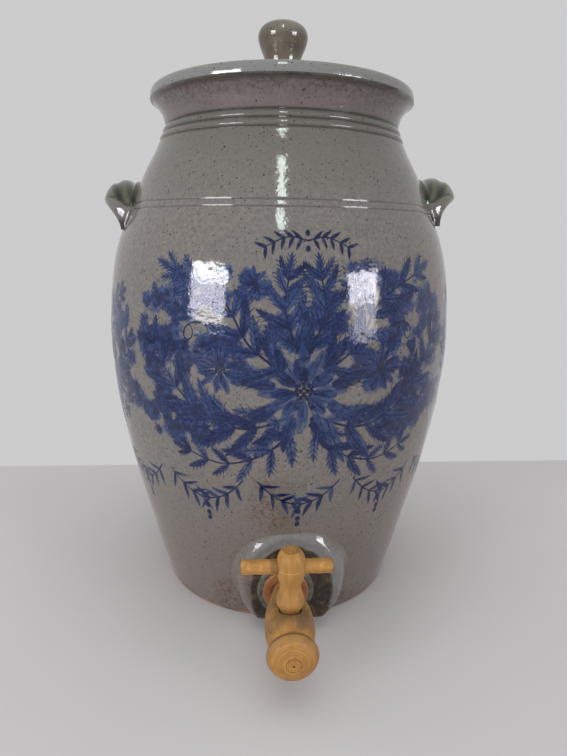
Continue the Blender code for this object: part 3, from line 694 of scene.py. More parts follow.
def turned_wood(name, location, rotation, seed, grey=0.35):
    """Lathe-turned wood: its tree, coordinates with the lathe's axis on Z, colour and surface."""
    tree = Tree(name)
    at = tree.place(location, rotation)
    x, y, along = at.parts()
    grain_at = at.vector("MULTIPLY", (1.0, 1.0, 0.10)).vector("ADD", (seed, seed * 0.7, seed * 0.3))
    streak = grain_at.noise(1500, 3.0, 0.7)
    colour = grain_at.noise(320, 4.0, 0.6, 0.4).span(0.35, 0.70, 0.0, 0.60).mix(WOOD_HONEY, WOOD_DEEP)
    colour = streak.span(0.52, 0.80, 0.0, 0.30).mix(colour, WOOD_DEEP)
    colour = at.noise(95).span(0.50, 0.72, 0.0, grey).mix(colour, WOOD_GREY)
    way = along + tree.distance(x, y)
    lathe = tree.math("SINE", way * 9000.0) * 0.6 + tree.math("SINE", way * 3700.0) * 0.25
    colour = lathe.span(0.25, 0.85, 0.0, 0.14).mix(colour, WOOD_DEEP)
    colour = (grain_at.specks(900, 0.25, 0.30) * 0.40).mix(colour, GRIME_AND_SHADE)
    skin = tree.bump(streak, 0.25, 0.00010, Normal=tree.bump(lathe, 0.20, 0.00008))
    return tree, at, colour, skin


def behind_tip(places):
    return [BARREL_LOW.y + place for place in places]


def barrel_wood():
    """Barrel and button: stained grey-brown on top, dark in the lathe lines, with painted shade in the groove
    behind the button.
    """
    tree, at, colour, skin = turned_wood(
        "barrel_wood", (0, 0, -TAP_HEIGHT), (math.radians(90), 0, 0), 0.31, 0.80)
    at = tree.place()
    x, y, height = at.parts()
    body = y.span(*behind_tip(BARREL_BODY))
    stain = body * at.noise(70, 4.0, 0.7).span(0.36, 0.66, 0.12, 0.80)
    colour = stain.mix(colour, WOOD_GREY)
    near_key = x * x + tree.math("POWER", y + KEY_REACH, 2.0)
    wet = near_key.span(0.00020, 0.00005) * height.span(TAP_HEIGHT, TAP_HEIGHT + 0.01)
    colour = (wet * 0.25).mix(colour, GRIME_AND_SHADE)
    colour = (at.specks(330, 0.45, 0.32) * body * 0.8).mix(colour, GRIME_AND_SHADE)
    radius = ring_distance(tree, at)
    nose = y.span(*behind_tip(BARREL_NOSE))
    rings = tree.combine(radius * 1250.0, at.noise(75) * 3.0).noise(1.0, 3.0, 0.7)
    face = rings.span(0.44, 0.66, 0.0, 0.85).mix(WOOD_HONEY, WOOD_DEEP)
    face = at.noise(150, 3.0, 0.7).span(0.44, 0.70, 0.0, 0.75).mix(face, WOOD_DEEP)
    face = radius.span(0.0115, TAP_RADIUS, 0.0, 0.45).mix(face, WOOD_GREY)
    colour = (nose * 0.85).mix(colour, face)
    uneven = (at.noise(260, 2.0) - 0.5) * 0.0012
    cut_ring = nose * abs(radius + uneven - NOSE_RING).span(0.00030, 0.00005)
    dot = nose * radius.span(0.00105, 0.00065)
    colour = (cut_ring.larger(dot) * 0.85).mix(colour, GRIME_AND_SHADE)
    # Painted shade: a dark band in the groove behind the button
    edge = y.band(behind_tip(BUTTON_RISE), behind_tip(BUTTON_FALL))
    colour = (edge * 0.60).mix(colour, GRIME_AND_SHADE)
    return tree.finish(colour, 0.55, WOOD_IOR, WOOD_GLOSS, Normal=skin)


def key_wood():
    """The key: a pale line at its crossbar, turned rings on its top and grime low down."""
    tree, at, colour, skin = turned_wood("key_wood", (0, KEY_REACH, 0), (0, 0, 0), 0.77)
    x, y, height = at.parts()
    line = abs(height - BAR_MIDDLE.z).span(0.00040, 0.0001, 0.0, 0.7)
    colour = line.mix(colour, WOOD_PALE)
    radius = tree.distance(x, y)
    top = height.span(KEY_HIGH.z - 0.0012, KEY_HIGH.z - 0.0006)
    for ring in KEY_TOP_RINGS:
        near = abs(radius - ring).span(0.00030, 0.00008, 0.0, 0.55)
        colour = (top * near).mix(colour, GRIME_AND_SHADE)
    low = height.span(TAP_HEIGHT + 0.0215, TAP_HEIGHT + 0.0150)
    colour = (low * 0.5).mix(colour, GRIME_AND_SHADE)
    return tree.finish(colour, 0.50, WOOD_IOR, WOOD_GLOSS, Normal=skin)


def crossbar_wood():
    """The crossbar: grime at its ends and by the key, with pale and grey patches."""
    tree, at, colour, skin = turned_wood(
        "crossbar_wood", tuple(-BAR_MIDDLE), (0, math.radians(90), 0), 1.9)
    along = abs(at.parts()[2])
    colour = along.span(BAR_HALF - 0.0016, BAR_HALF - 0.0002, 0.0, 0.55).mix(colour, GRIME_AND_SHADE)
    colour = along.span(0.0115, 0.0090, 0.0, 0.45).mix(colour, GRIME_AND_SHADE)
    pale = at.noise(210, 3.0, 0.6)
    colour = pale.span(0.50, 0.70, 0.0, 0.45).mix(colour, WOOD_PALE)
    colour = pale.span(0.46, 0.30, 0.0, 0.45).mix(colour, WOOD_GREY)
    return tree.finish(colour, 0.50, WOOD_IOR, WOOD_GLOSS, Normal=skin)


def cork_material():
    tree = Tree("cork")
    at = tree.place()
    grains, chance = at.cells(700)
    colour = chance.mix(CORK_ORANGE, CORK_DEEP)
    colour = at.noise(160, 4.0, 0.7).span(0.52, 0.75).mix(colour, CORK_DARK)
    colour = at.specks(520, 0.20, 0.32).mix(colour, CORK_DARK)
    return tree.finish(colour, 0.55, Normal=tree.bump(grains, 0.6, 0.0003))


def washer_material():
    tree = Tree("aged_rubber")
    at = tree.place()
    colour = at.noise(240, 4.0, 0.7).span(0.35, 0.70).mix(WASHER_GREEN, WASHER_DARK)
    crust = at.noise(700, 3.0, 0.7)
    colour = crust.span(0.60, 0.78, 0.0, 0.6).mix(colour, WASHER_CRUST)
    return tree.finish(colour, 0.55, Normal=tree.bump(crust, 0.5, 0.0003))


# Cobalt on the wall: the sprays' height, the front one's angle and the side ones' share of its size
SPRAY_HEIGHT = 0.190
FRONT_TURN = 0.06
SIDE_SCALE = 0.72

# Sponged cobalt: clusters as place across, height, and half sizes across and up
WASH_CLUSTERS = (
    (0.088, 0.216, 0.030, 0.040), (-0.088, 0.216, 0.030, 0.040), (0.084, 0.166, 0.038, 0.018),
    (-0.084, 0.166, 0.038, 0.018), (0.046, 0.248, 0.022, 0.014), (-0.046, 0.248, 0.022, 0.014),
    (0.000, 0.230, 0.028, 0.018), (0.048, 0.206, 0.018, 0.018), (-0.048, 0.206, 0.018, 0.018),
)
WASH_DABS = 50000


def spray_places():
    """Angle and scale of the four sprays: full size in front and behind, smaller at the sides."""
    return [(FRONT_TURN + quarter * math.pi / 2, SIDE_SCALE if quarter % 2 else 1.0) for quarter in range(4)]


def wash_at(points):
    """How thickly the sponge laid cobalt at each point of the wall, from 0 to 1."""
    rand = random.Random(11)
    turn = np.arctan2(points[:, 0], -points[:, 1])
    height = points[:, 2]
    outside = np.hypot(points[:, 0], points[:, 1]) > wall_radius(height) - WALL / 2
    total = np.zeros(len(points))
    for spray_turn, size in spray_places():
        for across, level, wide, tall in WASH_CLUSTERS:
            middle = SPRAY_HEIGHT + (level - SPRAY_HEIGHT) * size
            for dab in range(int(WASH_DABS * wide * tall)):
                angle, share = rand.uniform(0, math.tau), math.sqrt(rand.random())
                at_across = (across + wide * share * math.cos(angle)) * size
                at_height = middle + tall * share * math.sin(angle) * size
                reach = rand.uniform(0.0050, 0.0100) * size
                strength = rand.uniform(0.50, 1.00)
                place = spray_turn + at_across / BELLY_RADIUS
                away = (turn - place + math.pi) % math.tau - math.pi
                gap = np.hypot(away * BELLY_RADIUS, height - at_height)
                total = np.maximum(total, strength * np.exp(-((gap / reach) ** 2)) + 0.35 * total)
    return np.where(outside, np.clip(total, 0, 1), 0.0)


def pot_mesh():
    hole = turned_mesh("bung_hole", rod(BUNG_HOLE_RADIUS, BUNG_HIGH.y - BUNG_LOW.y), HOLE_STEPS)
    placed(hole, (0, (BUNG_LOW.y + BUNG_HIGH.y) / 2, TAP_HEIGHT), 90, "X")
    mesh = bored(turned_mesh("pot", pot_outline(), POT_STEPS), hole, POT_SHARP)
    points = np.empty(3 * len(mesh.vertices), np.float32)
    mesh.vertices.foreach_get("co", points)
    mark(mesh, "wash", wash_at(points.reshape(-1, 3)))
    return mesh


# Boss: a flat face inside a rounded rim that flows into the wall
BUNG_HOLE_RADIUS = 0.0131
BOSS_FLAT = 0.0292
BOSS_FILLET_END = 0.0430
BOSS_TALL = 0.90
BOSS_STAIN_LOW = 0.52
BOSS_SINK = 0.0003
BOSS_FACE_LOW = 0.0155
BOSS_END_LOW = 0.0035
BOSS_RIM_RADIUS = 0.0352
BOSS_RIM_WIDTH = 0.0036
BOSS_RIM_RISE = 0.0018
BOSS_RIM_FADES = (0.12, 0.3)
BOSS_EASE = 1.6
BOSS_STEPS = 144
BOSS_FACE_RINGS = 8
BOSS_FILLET_RINGS = 34


def boss_mesh():
    """Rings from the hole's edge out to where the pad meets the wall, cut off low by the foot."""
    turns = np.linspace(0, math.tau, BOSS_STEPS, endpoint=False)
    sine, cosine = np.sin(turns), np.cos(turns)
    down = np.clip(-cosine, 1e-6, None)
    tall = 1 + (1 / BOSS_TALL - 1) * np.clip(cosine, 0, 1)
    end = np.minimum(BOSS_FILLET_END * tall, (TAP_HEIGHT - BOSS_END_LOW) / down)
    flat = np.minimum(BOSS_FLAT * tall, (TAP_HEIGHT - BOSS_FACE_LOW) / down)
    room = np.clip((cosine + 0.55) / 0.60, 0, 1)
    face = BOSS_FACE - SKIN
    rows = []
    for share in np.linspace(0, 1, BOSS_FACE_RINGS):
        ring = BUNG_HOLE_RADIUS + (flat - BUNG_HOLE_RADIUS) * share
        x = ring * sine + BOSS_SHIFT * share
        rows.append(np.stack([x, np.full_like(x, -face), TAP_HEIGHT + ring * cosine], -1))
    for share in np.linspace(0, 1, BOSS_FILLET_RINGS)[1:]:
        ring = flat + (end - flat) * share
        x = ring * sine + BOSS_SHIFT
        z = TAP_HEIGHT + ring * cosine
        wall = wall_radius(z) + turned_detail(z)
        reach = np.sqrt(wall ** 2 - x ** 2) - BOSS_SINK * share
        drop = share ** BOSS_EASE
        ease = drop * drop * (3 - 2 * drop)
        rim = BOSS_RIM_RISE * room * np.exp(-(((ring / tall - BOSS_RIM_RADIUS) / BOSS_RIM_WIDTH) ** 2))
        rim = rim * min(share / BOSS_RIM_FADES[0], 1) * min((1 - share) / BOSS_RIM_FADES[1], 1)
        rows.append(np.stack([x, -(face + (reach - face) * ease + rim), z], -1))
    inner = rows[0].copy()
    inner[:, 1] = BOSS_HIGH.y
    return tidy(grid_mesh("boss", [inner] + rows))


# Lug handles, as in the solid: drops are below the rim's top. Then for each: piece, solid, side,
# height above the left one, reach beyond the wall, depth of the tips in the wall, and how soon
# the edge draws in towards the tips
HANDLE_ROOT_DROP = 0.0728
HANDLE_EDGE_DROP = 0.0762
HANDLE_TIP_DROP = 0.0990
HANDLES = (
    ("lug_left", "handle_left", -1, 0.0, 0.0224, 0.0045, 0.95),
    ("lug_right", "handle_right", 1, 0.0060, 0.0270, 0.0028, 1.50),
)
HANDLE_ROOT_DEPTH = 0.0120
HANDLE_HALF_SPAN = 0.0380
HANDLE_THICKNESS = 0.0092
HANDLE_TIP_THICKNESS = 0.0056
HANDLE_CAMBER = 0.0085
HANDLE_RIBS = 3
HANDLE_RIB_DEPTH = 0.0013
HANDLE_SHARP = 60
EDGE_HEIGHT_POWER = 0.55
ROOT_HEIGHT_POWER = 0.60
CREST_POWER = 1.25
RIBS_END = 0.28
RIBS_SLANT = 0.42
RIBS_MIDDLE = 0.45
RIBS_FADE = 0.12
HANDLE_STATIONS = 72
HANDLE_ACROSS = 48
FILLET_REACH = 0.0045
FILLET_GROWTH = 0.0022


def handle_section(turn, seat, sweep):
    """Inner and outer edge of the strap at an angle of its arch."""
    tip_height, edge, tip, root = seat
    rise = max(math.cos(turn), 0.0)
    along = HANDLE_HALF_SPAN * math.sin(turn)
    outer_height = tip_height + (HANDLE_TIP_DROP - HANDLE_EDGE_DROP) * rise ** EDGE_HEIGHT_POWER
    inner_height = tip_height + (HANDLE_TIP_DROP - HANDLE_ROOT_DROP) * rise ** ROOT_HEIGHT_POWER
    outer = (tip + (edge - tip) * rise ** sweep, along, outer_height)
    return np.array([(root, along, inner_height), outer])


def handle_ring(turn, seat, sweep):
    """Points round the strap's section, and for each its valley, ridge and place along the arch."""
    inner, outer = handle_section(turn, seat, sweep)
    nudge = math.radians(1)
    behind = handle_section(max(turn - nudge, -math.pi / 2), seat, sweep).mean(0)
    ahead = handle_section(min(turn + nudge, math.pi / 2), seat, sweep).mean(0)
    across = outer - inner
    up = np.cross(across, ahead - behind)
    up /= np.linalg.norm(up)
    rise = max(math.cos(turn), 0.0)
    thickness = HANDLE_TIP_THICKNESS + (HANDLE_THICKNESS - HANDLE_TIP_THICKNESS) * rise
    ring, marks = [], []
    for place in range(2 * HANDLE_ACROSS):
        top = place <= HANDLE_ACROSS
        share = place / HANDLE_ACROSS if top else 2 - place / HANDLE_ACROSS
        rounding = math.sqrt(max(1 - abs(2 * share - 1) ** 6, 0))
        border = RIBS_END + RIBS_SLANT * max(0.0, (share - RIBS_MIDDLE) / (1 - RIBS_MIDDLE)) ** 1.5
        ribbed = min(1.0, max(rise - border, 0) / RIBS_FADE)
        wave = 0.5 + 0.5 * math.cos(math.tau * HANDLE_RIBS * share)
        valley = ribbed * wave ** 1.6 if top else 0.0
        camber = HANDLE_CAMBER * rise * math.sin(math.pi * share ** CREST_POWER)
        middle = inner + across * share + up * camber
        height = (thickness / 2 - HANDLE_RIB_DEPTH * rise * valley + fillet(middle)) * rounding
        ring.append(middle + up * (height if top else -height))
        marks.append((valley, ribbed * (1 - wave) if top else 0.0, rise - border))
    return ring, marks


def fillet(point):
    """How much thicker the strap is near the wall, where its clay is smoothed on."""
    gap = math.hypot(point[0], point[1]) - float(wall_radius(point[2]))
    return FILLET_GROWTH * max(0.0, 1 - gap / FILLET_REACH) ** 2 if gap > 0 else FILLET_GROWTH


def handle_mesh(name, side, lift, out, depth, sweep):
    """A ribbed strap smoothed on to the wall at both tips and along its root."""
    top = BODY_HEIGHT + lift
    edge = wall_radius(top - HANDLE_EDGE_DROP) + out
    tip = wall_radius(top - HANDLE_TIP_DROP) - depth
    root = wall_radius(top - HANDLE_ROOT_DROP) - HANDLE_ROOT_DEPTH
    seat = (top - HANDLE_TIP_DROP, edge, tip, root)
    turns = np.radians(np.linspace(-90, 90, HANDLE_STATIONS + 1))
    rings, marks = zip(*[handle_ring(turn, seat, sweep) for turn in turns])
    mesh = grid_mesh(name, np.array(rings) * (side, 1, 1), caps=True)
    mark(mesh, "strap", marks)
    mark(mesh, "arch", np.repeat(np.cos(turns), 2 * HANDLE_ACROSS))
    return tidy(mesh, HANDLE_SHARP)


# Lid, as in the solid
LID_CLEARANCE = 0.0007
LID_LIFT = 0.0003
LID_RING_WALL = 0.0055
LID_EDGE = 0.0064
LID_RISE = 0.0085
LID_THICKNESS = 0.0075
LID_EDGE_ROUND = 0.0015
LID_WAVE = 0.00025
LID_STEPS = 192
LID_SHARP = 40
KNOB_HEAD_SHARES = ((0.0, 1.0), (0.50, 0.98), (0.86, 0.90), (1.0, 0.77), (0.93, 0.62))
KNOB_STEM_SHARE = 0.42
KNOB_NECK_SHARE = 0.22
KNOB_STEM_RADIUS = 0.0137
KNOB_BASE_RADIUS = 0.0165


def lid_mesh():
    """The crowned plate with its locating ring below."""
    seat = BODY_HEIGHT - GALLERY_DEPTH + LID_LIFT
    edge_radius = PLATE_HIGH.x
    ring_radius = NECK_RADIUS - WALL - LID_CLEARANCE
    inside = ring_radius - LID_RING_WALL
    edge = seat + LID_EDGE - LID_EDGE_ROUND
    top = arc((0, edge), (edge_radius, LID_RISE + LID_EDGE_ROUND), 90, 12, 40)
    top[:, 1] += LID_WAVE * np.sin(top[:, 0] * 900) * np.clip(top[:, 0] / 0.02, 0, 1) - SKIN
    corner = arc((edge_radius - LID_EDGE_ROUND, seat + LID_EDGE_ROUND), LID_EDGE_ROUND, 0, -90, 5)
    ring = arc((ring_radius - LID_EDGE_ROUND, PLATE_LOW.z + LID_EDGE_ROUND), LID_EDGE_ROUND, 0, -90, 5)
    under = arc((0, seat), (inside, PLATE_HIGH.z - LID_THICKNESS - seat), 8, 90, 16)
    outline = np.concatenate([
        top, [(edge_radius, edge)], corner, [(ring_radius, seat)], ring,
        [(inside, PLATE_LOW.z), (inside, seat)], under,
    ])
    return turned_mesh("lid", outline, LID_STEPS, LID_SHARP)


def knob_mesh():
    base = KNOB_LOW.z
    height = KNOB_HIGH.z - base
    head = between(KNOB_HEAD_SHARES, (0, base), (KNOB_HIGH.x, KNOB_HIGH.z))
    stem = [(KNOB_STEM_RADIUS, base + height * KNOB_STEM_SHARE),
            (KNOB_STEM_RADIUS, base + height * KNOB_NECK_SHARE), (KNOB_BASE_RADIUS, base)]
    return turned_mesh("knob", np.concatenate([catmull_rom(head + stem, 10), [(0, base)]]), TURNED_STEPS)


# The tap's barrel, as in the solid: radii, lengths along its axis, and shares of both
TAIL_RADIUS = 0.0092
TAP_NECK_RADIUS = 0.0122
TAP_WAIST_RADIUS = 0.0116
BUTTON_HALF = 0.0030
NOSE_LENGTH = 0.0082
KEY_TO_WAIST = 0.0182
WAIST_TO_BUTTON = 0.0063
NECK_TO_KEY = 0.0255
NECK_LENGTH = 0.0130
TAIL_TIP_RADIUS = 0.0086
TAP_BORE_RADIUS = 0.0040
BORE_PAST_KEY = 0.006
NOSE_SHARES = ((0.0, 1.0), (0.35, 0.90), (0.66, 0.67), (0.90, 0.36), (1.0, 0.0))
BUTTON_BACK_SHARES = ((1.0, 1.0), (0.965, 0.35), (0.87, 0.0))
WAIST_FRONT_SHARE = 0.14
BULGE_FRONT_SHARES = ((0.0, 1.0), (0.62, 0.60), (0.92, 0.33), (1.0, 0.0))
BULGE_BACK_SHARES = ((0.935, 0.70), (0.70, 0.42), (0.0, 0.0))
NECK_CURVE_SHARES = ((0.42, 0.45), (0.0, 0.0))
KEY_HOLE_RADIUS = 0.0086
KEY_MOUTH_RADIUS = 0.0073
KEY_MOUTH_HEIGHT = 0.0130
KEY_HOLE_TAPER = 0.86
KEY_HOLE_HALF = TAP_RADIUS * 1.4
BARREL_SHARP = 28


def barrel_mesh():
    """The turned barrel from its nose to its tail, with its bore and the key's hole."""
    waist = KEY_REACH + KEY_TO_WAIST
    rim = waist + WAIST_TO_BUTTON
    neck_end = KEY_REACH - NECK_TO_KEY
    button_back = rim - BUTTON_HALF
    nose = catmull_rom(between(NOSE_SHARES, (0, rim), (TAP_RADIUS, rim + NOSE_LENGTH)), 8)
    button = catmull_rom(between(BUTTON_BACK_SHARES, (0, button_back), (TAP_RADIUS, rim)), 5)[1:]
    waist_start = TAP_WAIST_RADIUS + (TAP_RADIUS - TAP_WAIST_RADIUS) * WAIST_FRONT_SHARE
    neck = (TAP_NECK_RADIUS, neck_end)
    middle = catmull_rom(
        [(waist_start, button_back)]
        + between(BULGE_FRONT_SHARES, (TAP_WAIST_RADIUS, KEY_REACH), (TAP_RADIUS, waist))
        + between(BULGE_BACK_SHARES, neck, (TAP_RADIUS, KEY_REACH))
        + between(NECK_CURVE_SHARES, (TAIL_RADIUS, neck_end - NECK_LENGTH), neck), 8,
    )
    tail_end = -BARREL_HIGH.y
    bore_end = KEY_REACH - BORE_PAST_KEY
    tail = [(TAIL_TIP_RADIUS, tail_end), (TAP_BORE_RADIUS, tail_end),
            (TAP_BORE_RADIUS, bore_end), (0, bore_end)]
    barrel = turned_mesh("barrel", np.concatenate([nose, button, middle, tail]), TURNED_STEPS, BARREL_SHARP)
    hole = turned_mesh("key_hole", [
        (0, KEY_HOLE_HALF), (KEY_MOUTH_RADIUS, KEY_HOLE_HALF), (KEY_MOUTH_RADIUS, KEY_MOUTH_HEIGHT),
        (KEY_HOLE_RADIUS, KEY_MOUTH_HEIGHT), (KEY_HOLE_RADIUS * KEY_HOLE_TAPER, -KEY_HOLE_HALF),
        (0, -KEY_HOLE_HALF)], HOLE_STEPS)
    return along_tap(bored(barrel, placed(hole, (0, 0, KEY_REACH), -90, "X"), BARREL_SHARP))


# Key, as in the solid: a place is a radius and a height above the tap's axis
KEY_FACE_RADIUS = 0.0056
KEY_HEAD = (0.0092, 0.0446)
KEY_WAIST = (0.0065, 0.0316)
KEY_COLLAR = (0.0089, 0.0210)
PLUG_TOP = (0.0064, 0.0150)
PLUG_END_RADIUS = 0.0052
PORT_RADIUS = 0.0030
TOP_RING_DEPTH = 0.0003
KEY_FACE_SHARES = ((0.0, 0.0), (0.42, 0.16), (0.84, 0.50))
KEY_HEAD_SHARES = ((0.0, 0.0), (0.09, 0.30), (0.60, 0.68), (1.0, 1.0))
KEY_COLLAR_SHARES = ((0.45, 0.50), (1.0, 1.0))
KEY_SHARP = 35
BAR_HOLE_HALF = 0.02
FIT_GAP = 0.0003
BAR_STEPS = 48


def key_mesh():
    """The turned key with a ring cut in its top, its outlet below and the crossbar's hole."""
    top = KEY_HIGH.z - TAP_HEIGHT
    end = KEY_LOW.z - TAP_HEIGHT
    side = catmull_rom(
        between(KEY_FACE_SHARES, (KEY_FACE_RADIUS, top), KEY_HEAD)
        + between(KEY_HEAD_SHARES, KEY_HEAD, KEY_WAIST)
        + between(KEY_COLLAR_SHARES, KEY_WAIST, KEY_COLLAR) + [PLUG_TOP], 9,
    )
    cut = top - TOP_RING_DEPTH
    outline = np.concatenate([
        [(0.0, cut), (0.0012, top), (0.0035, top), (0.0037, cut), (0.0039, top)], side,
        [(PLUG_END_RADIUS, end), (PORT_RADIUS, end), (PORT_RADIUS, PORT_RADIUS), (0, PORT_RADIUS)],
    ])
    key = placed(turned_mesh("key", outline, TURNED_STEPS, KEY_SHARP), (0, -KEY_REACH, TAP_HEIGHT), 0, "X")
    hole = turned_mesh("bar_hole", rod(BAR_RADIUS + FIT_GAP, BAR_HOLE_HALF), BAR_STEPS)
    return bored(key, placed(hole, (0, -KEY_REACH, BAR_MIDDLE.z), 90, "Y"), KEY_SHARP)


CROSSBAR_ROUND = 0.0018
CROSSBAR_WEAR = 0.0001
CROSSBAR_THINNER = 0.00012
SMALL_SHARP = 50


def crossbar_mesh():
    """A dowel with rounded ends and a slightly worn side."""
    end = CROSSBAR_ROUND
    straight = BAR_HALF - end
    along = np.linspace(-straight, straight, 30)
    side = np.stack([BAR_RADIUS - CROSSBAR_THINNER + CROSSBAR_WEAR * np.sin(along * 700), along], 1)[::-1]
    ends = (end - CROSSBAR_WEAR, end)
    top = arc((BAR_RADIUS - end, straight), ends, 90, 10, 6)
    bottom = arc((BAR_RADIUS - end, -straight), ends, -10, -90, 6)
    outline = np.concatenate([[(0, BAR_HALF)], top, side, bottom, [(0, -BAR_HALF)]])
    return placed(turned_mesh("crossbar", outline, BAR_STEPS, SMALL_SHARP), BAR_MIDDLE, 90, "Y")


WASHER_ROUND = 0.0006


def washer_mesh():
    """A ring about the tap's axis with softened edges."""
    soft = WASHER_ROUND
    outer = (WASHER_HIGH.x - WASHER_LOW.x) / 2 - soft
    back, front = -WASHER_HIGH.y, -WASHER_LOW.y
    outline = np.concatenate([
        arc((outer, front - soft), soft, 90, 0, 4), arc((outer, back + soft), soft, 0, -90, 3),
        [(BUNG_HOLE_RADIUS, back)], arc((BUNG_HOLE_RADIUS + soft, front - soft), soft, 180, 90, 4),
    ])
    outline = np.concatenate([outline, outline[:1]])
    return along_tap(turned_mesh("washer", outline, TURNED_STEPS, SMALL_SHARP))


BUNG_ROUND = 0.0007
BUNG_HEAD_DEPTH = 0.0025
BUNG_BEVEL = (0.0005, 0.0004)
BUNG_SHARP = 40


def bung_mesh():
    """A cork sleeve with a head in front, round the tap's tail."""
    head = (BUNG_HIGH.x - BUNG_LOW.x) / 2
    front, back = -BUNG_LOW.y, -BUNG_HIGH.y
    shank = BUNG_HOLE_RADIUS - FIT_GAP
    hole = TAIL_RADIUS + FIT_GAP
    under = front - BUNG_HEAD_DEPTH
    mouth = (hole, front - BUNG_BEVEL[1])
    outline = np.concatenate([
        [mouth, (hole + BUNG_BEVEL[0], front)],
        arc((head - BUNG_ROUND, front - BUNG_ROUND), BUNG_ROUND, 90, 0, 4),
        [(head, under), (shank, under), (shank, back), (hole, back), mouth],
    ])
    return along_tap(turned_mesh("bung", outline, TURNED_STEPS, BUNG_SHARP))


# Cobalt strokes. They are laid out flat, in metres across and up, round a centre on the wall
PAINT_LIFT = 0.00005
PAINT_LAYER = 0.000002
PAINT_LAYERS = 40
PAINT_LOW = 0.012
PAINT_BELOW_NECK = 0.004
LEAF_POINTS = 12
PETAL_POINTS = 9
SWAG_POINTS = 25


class Brush:
    """Collects painted strokes as thin strips that follow the wall."""

    def __init__(self, seed):
        self.points, self.faces, self.marks, self.normals = [], [], [], []
        self.random = random.Random(seed)
        self.count = 0
        self.layer = 0
        self.centre = (0.0, 0.0)

    def strip(self, line, widths, tone, across, angle=0.0, start=(0.0, 0.0)):
        """One stroke along a line of (across, up) points, turned clockwise and moved to its start."""
        line = np.asarray(line, float)
        c, s = math.cos(angle), math.sin(angle)
        line = np.stack([line[:, 0] * c + line[:, 1] * s, -line[:, 0] * s + line[:, 1] * c], 1) + start
        ahead = np.gradient(line, axis=0)
        ahead /= np.maximum(np.linalg.norm(ahead, axis=1, keepdims=True), 1e-9)
        side = np.stack([-ahead[:, 1], ahead[:, 0]], 1)
        shares = np.linspace(0, 1, across)
        widths = np.asarray(widths, float)
        flat = line[:, None] + side[:, None] * ((shares - 0.5)[None, :, None] * widths[:, None, None])
        height = np.clip(self.centre[1] + flat[..., 1], PAINT_LOW, NECK_HEIGHT - PAINT_BELOW_NECK)
        turn = self.centre[0] + flat[..., 0] / wall_radius(height)
        self.layer += 1
        points, normals = wall_points(turn, height, PAINT_LIFT + PAINT_LAYER * (self.layer % PAINT_LAYERS))
        self.points.append(points)
        self.normals.append(normals)
        rows = len(line)
        along = np.repeat(np.linspace(0, 1, rows), across)
        tones = np.full_like(along, min(1.0, tone))
        self.marks.append(np.stack([np.tile(shares, rows), along, tones], -1))
        self.faces.append(self.count + quads(rows, across, False)[:, (0, 3, 2, 1)])
        self.count += len(points)

    def mesh(self, name):
        mesh = bpy.data.meshes.new(name)
        mesh.from_pydata(np.concatenate(self.points).tolist(), [], np.concatenate(self.faces).tolist())
        mark(mesh, "stroke", np.concatenate(self.marks))
        mesh.shade_smooth()
        mesh.normals_split_custom_set_from_vertices(np.concatenate(self.normals).tolist())
        return mesh


def comma(length, width, bend, points, sharp_tail=0.8):
    """Line and widths of a brush mark that starts full and ends in a point."""
    t = np.linspace(0, 1, points)
    line = np.stack([bend * length * t ** 2, length * t], 1)
    widths = width * np.sin(math.pi * np.clip(0.10 + 0.90 * t, 0, 1)) ** sharp_tail * (1 - 0.25 * t)
    widths[-1] = 0.0002
    return line, widths


def heading(start, end):
    """Angle of a short way, clockwise from straight up."""
    return math.atan2(end[0] - start[0], end[1] - start[1])


def leaf(brush, start, angle, length, width, bend, tone):
    """A leaf in one wash with a midrib and a few veins drawn over it."""
    line, widths = comma(length, width, bend, LEAF_POINTS, 0.75)
    brush.strip(line, widths, tone, 7, angle, start)
    rib_widths = np.linspace(0.0012, 0.0006, LEAF_POINTS)
    brush.strip(line * (1.0, 0.96), rib_widths, tone + 0.42, 3, angle, start)
    for share in (0.25, 0.42, 0.58, 0.74):
        root = line[int(share * (LEAF_POINTS - 1))]
        reach = width * 0.42 * math.sin(math.pi * (0.1 + 0.9 * share)) + 0.0008
        for side in (-1, 1):
            vein = root + np.array([(0, 0), (side * reach * 0.6, reach * 0.55), (side * reach, reach * 1.25)])
            brush.strip(vein, [0.0008, 0.0008, 0.0004], tone + 0.30, 3, angle, start)


# Rings of petals: reach and width as shares of the blossom's radius, how much darker they are,
# and how many fewer petals they have
PETAL_RINGS = ((1.0, 0.31, -0.16, 0), (0.70, 0.25, 0.10, 3), (0.44, 0.20, 0.32, 5))
HEART_SHARE = 0.16
HEART_DOTS = ((1.0, 9), (0.45, 4))


def flower(brush, start, radius, tone, petals):
    """A round blossom: three rings of brushed petals about a dotted heart."""
    rand = brush.random
    for ring, (reach, wide, dark, fewer) in enumerate(PETAL_RINGS):
        count = petals - fewer
        for place in range(count):
            angle = math.tau * (place + 0.5 * ring) / count + rand.uniform(-0.08, 0.08)
            length = radius * reach * rand.uniform(0.92, 1.05)
            bend = rand.uniform(-0.1, 0.1)
            line, widths = comma(length * 0.80, radius * wide * 1.15, bend, PETAL_POINTS, 0.9)
            line = line[::-1] + (0.0, radius * HEART_SHARE)
            brush.strip(line, widths, tone + dark + rand.uniform(-0.08, 0.08), 6, angle, start)
            rib_widths = np.linspace(0.0009, 0.0005, PETAL_POINTS)
            brush.strip(line * (1.0, 0.9), rib_widths, tone + dark + 0.35, 3, angle, start)
    heart = []
    for share, count in HEART_DOTS:
        for angle in np.linspace(0, math.tau, count, endpoint=False):
            reach = radius * HEART_SHARE * share
            heart.append((start[0] + reach * math.sin(angle), start[1] + reach * math.cos(angle)))
    dots(brush, heart, radius * 0.055, 0.95)


def dots(brush, places, radius, tone):
    for across, up in places:
        line = [(across, up + radius * share) for share in (-1.0, -0.4, 0.4, 1.0)]
        brush.strip(line, [radius * 0.9, radius * 1.9, radius * 1.9, radius * 0.9], tone, 5)


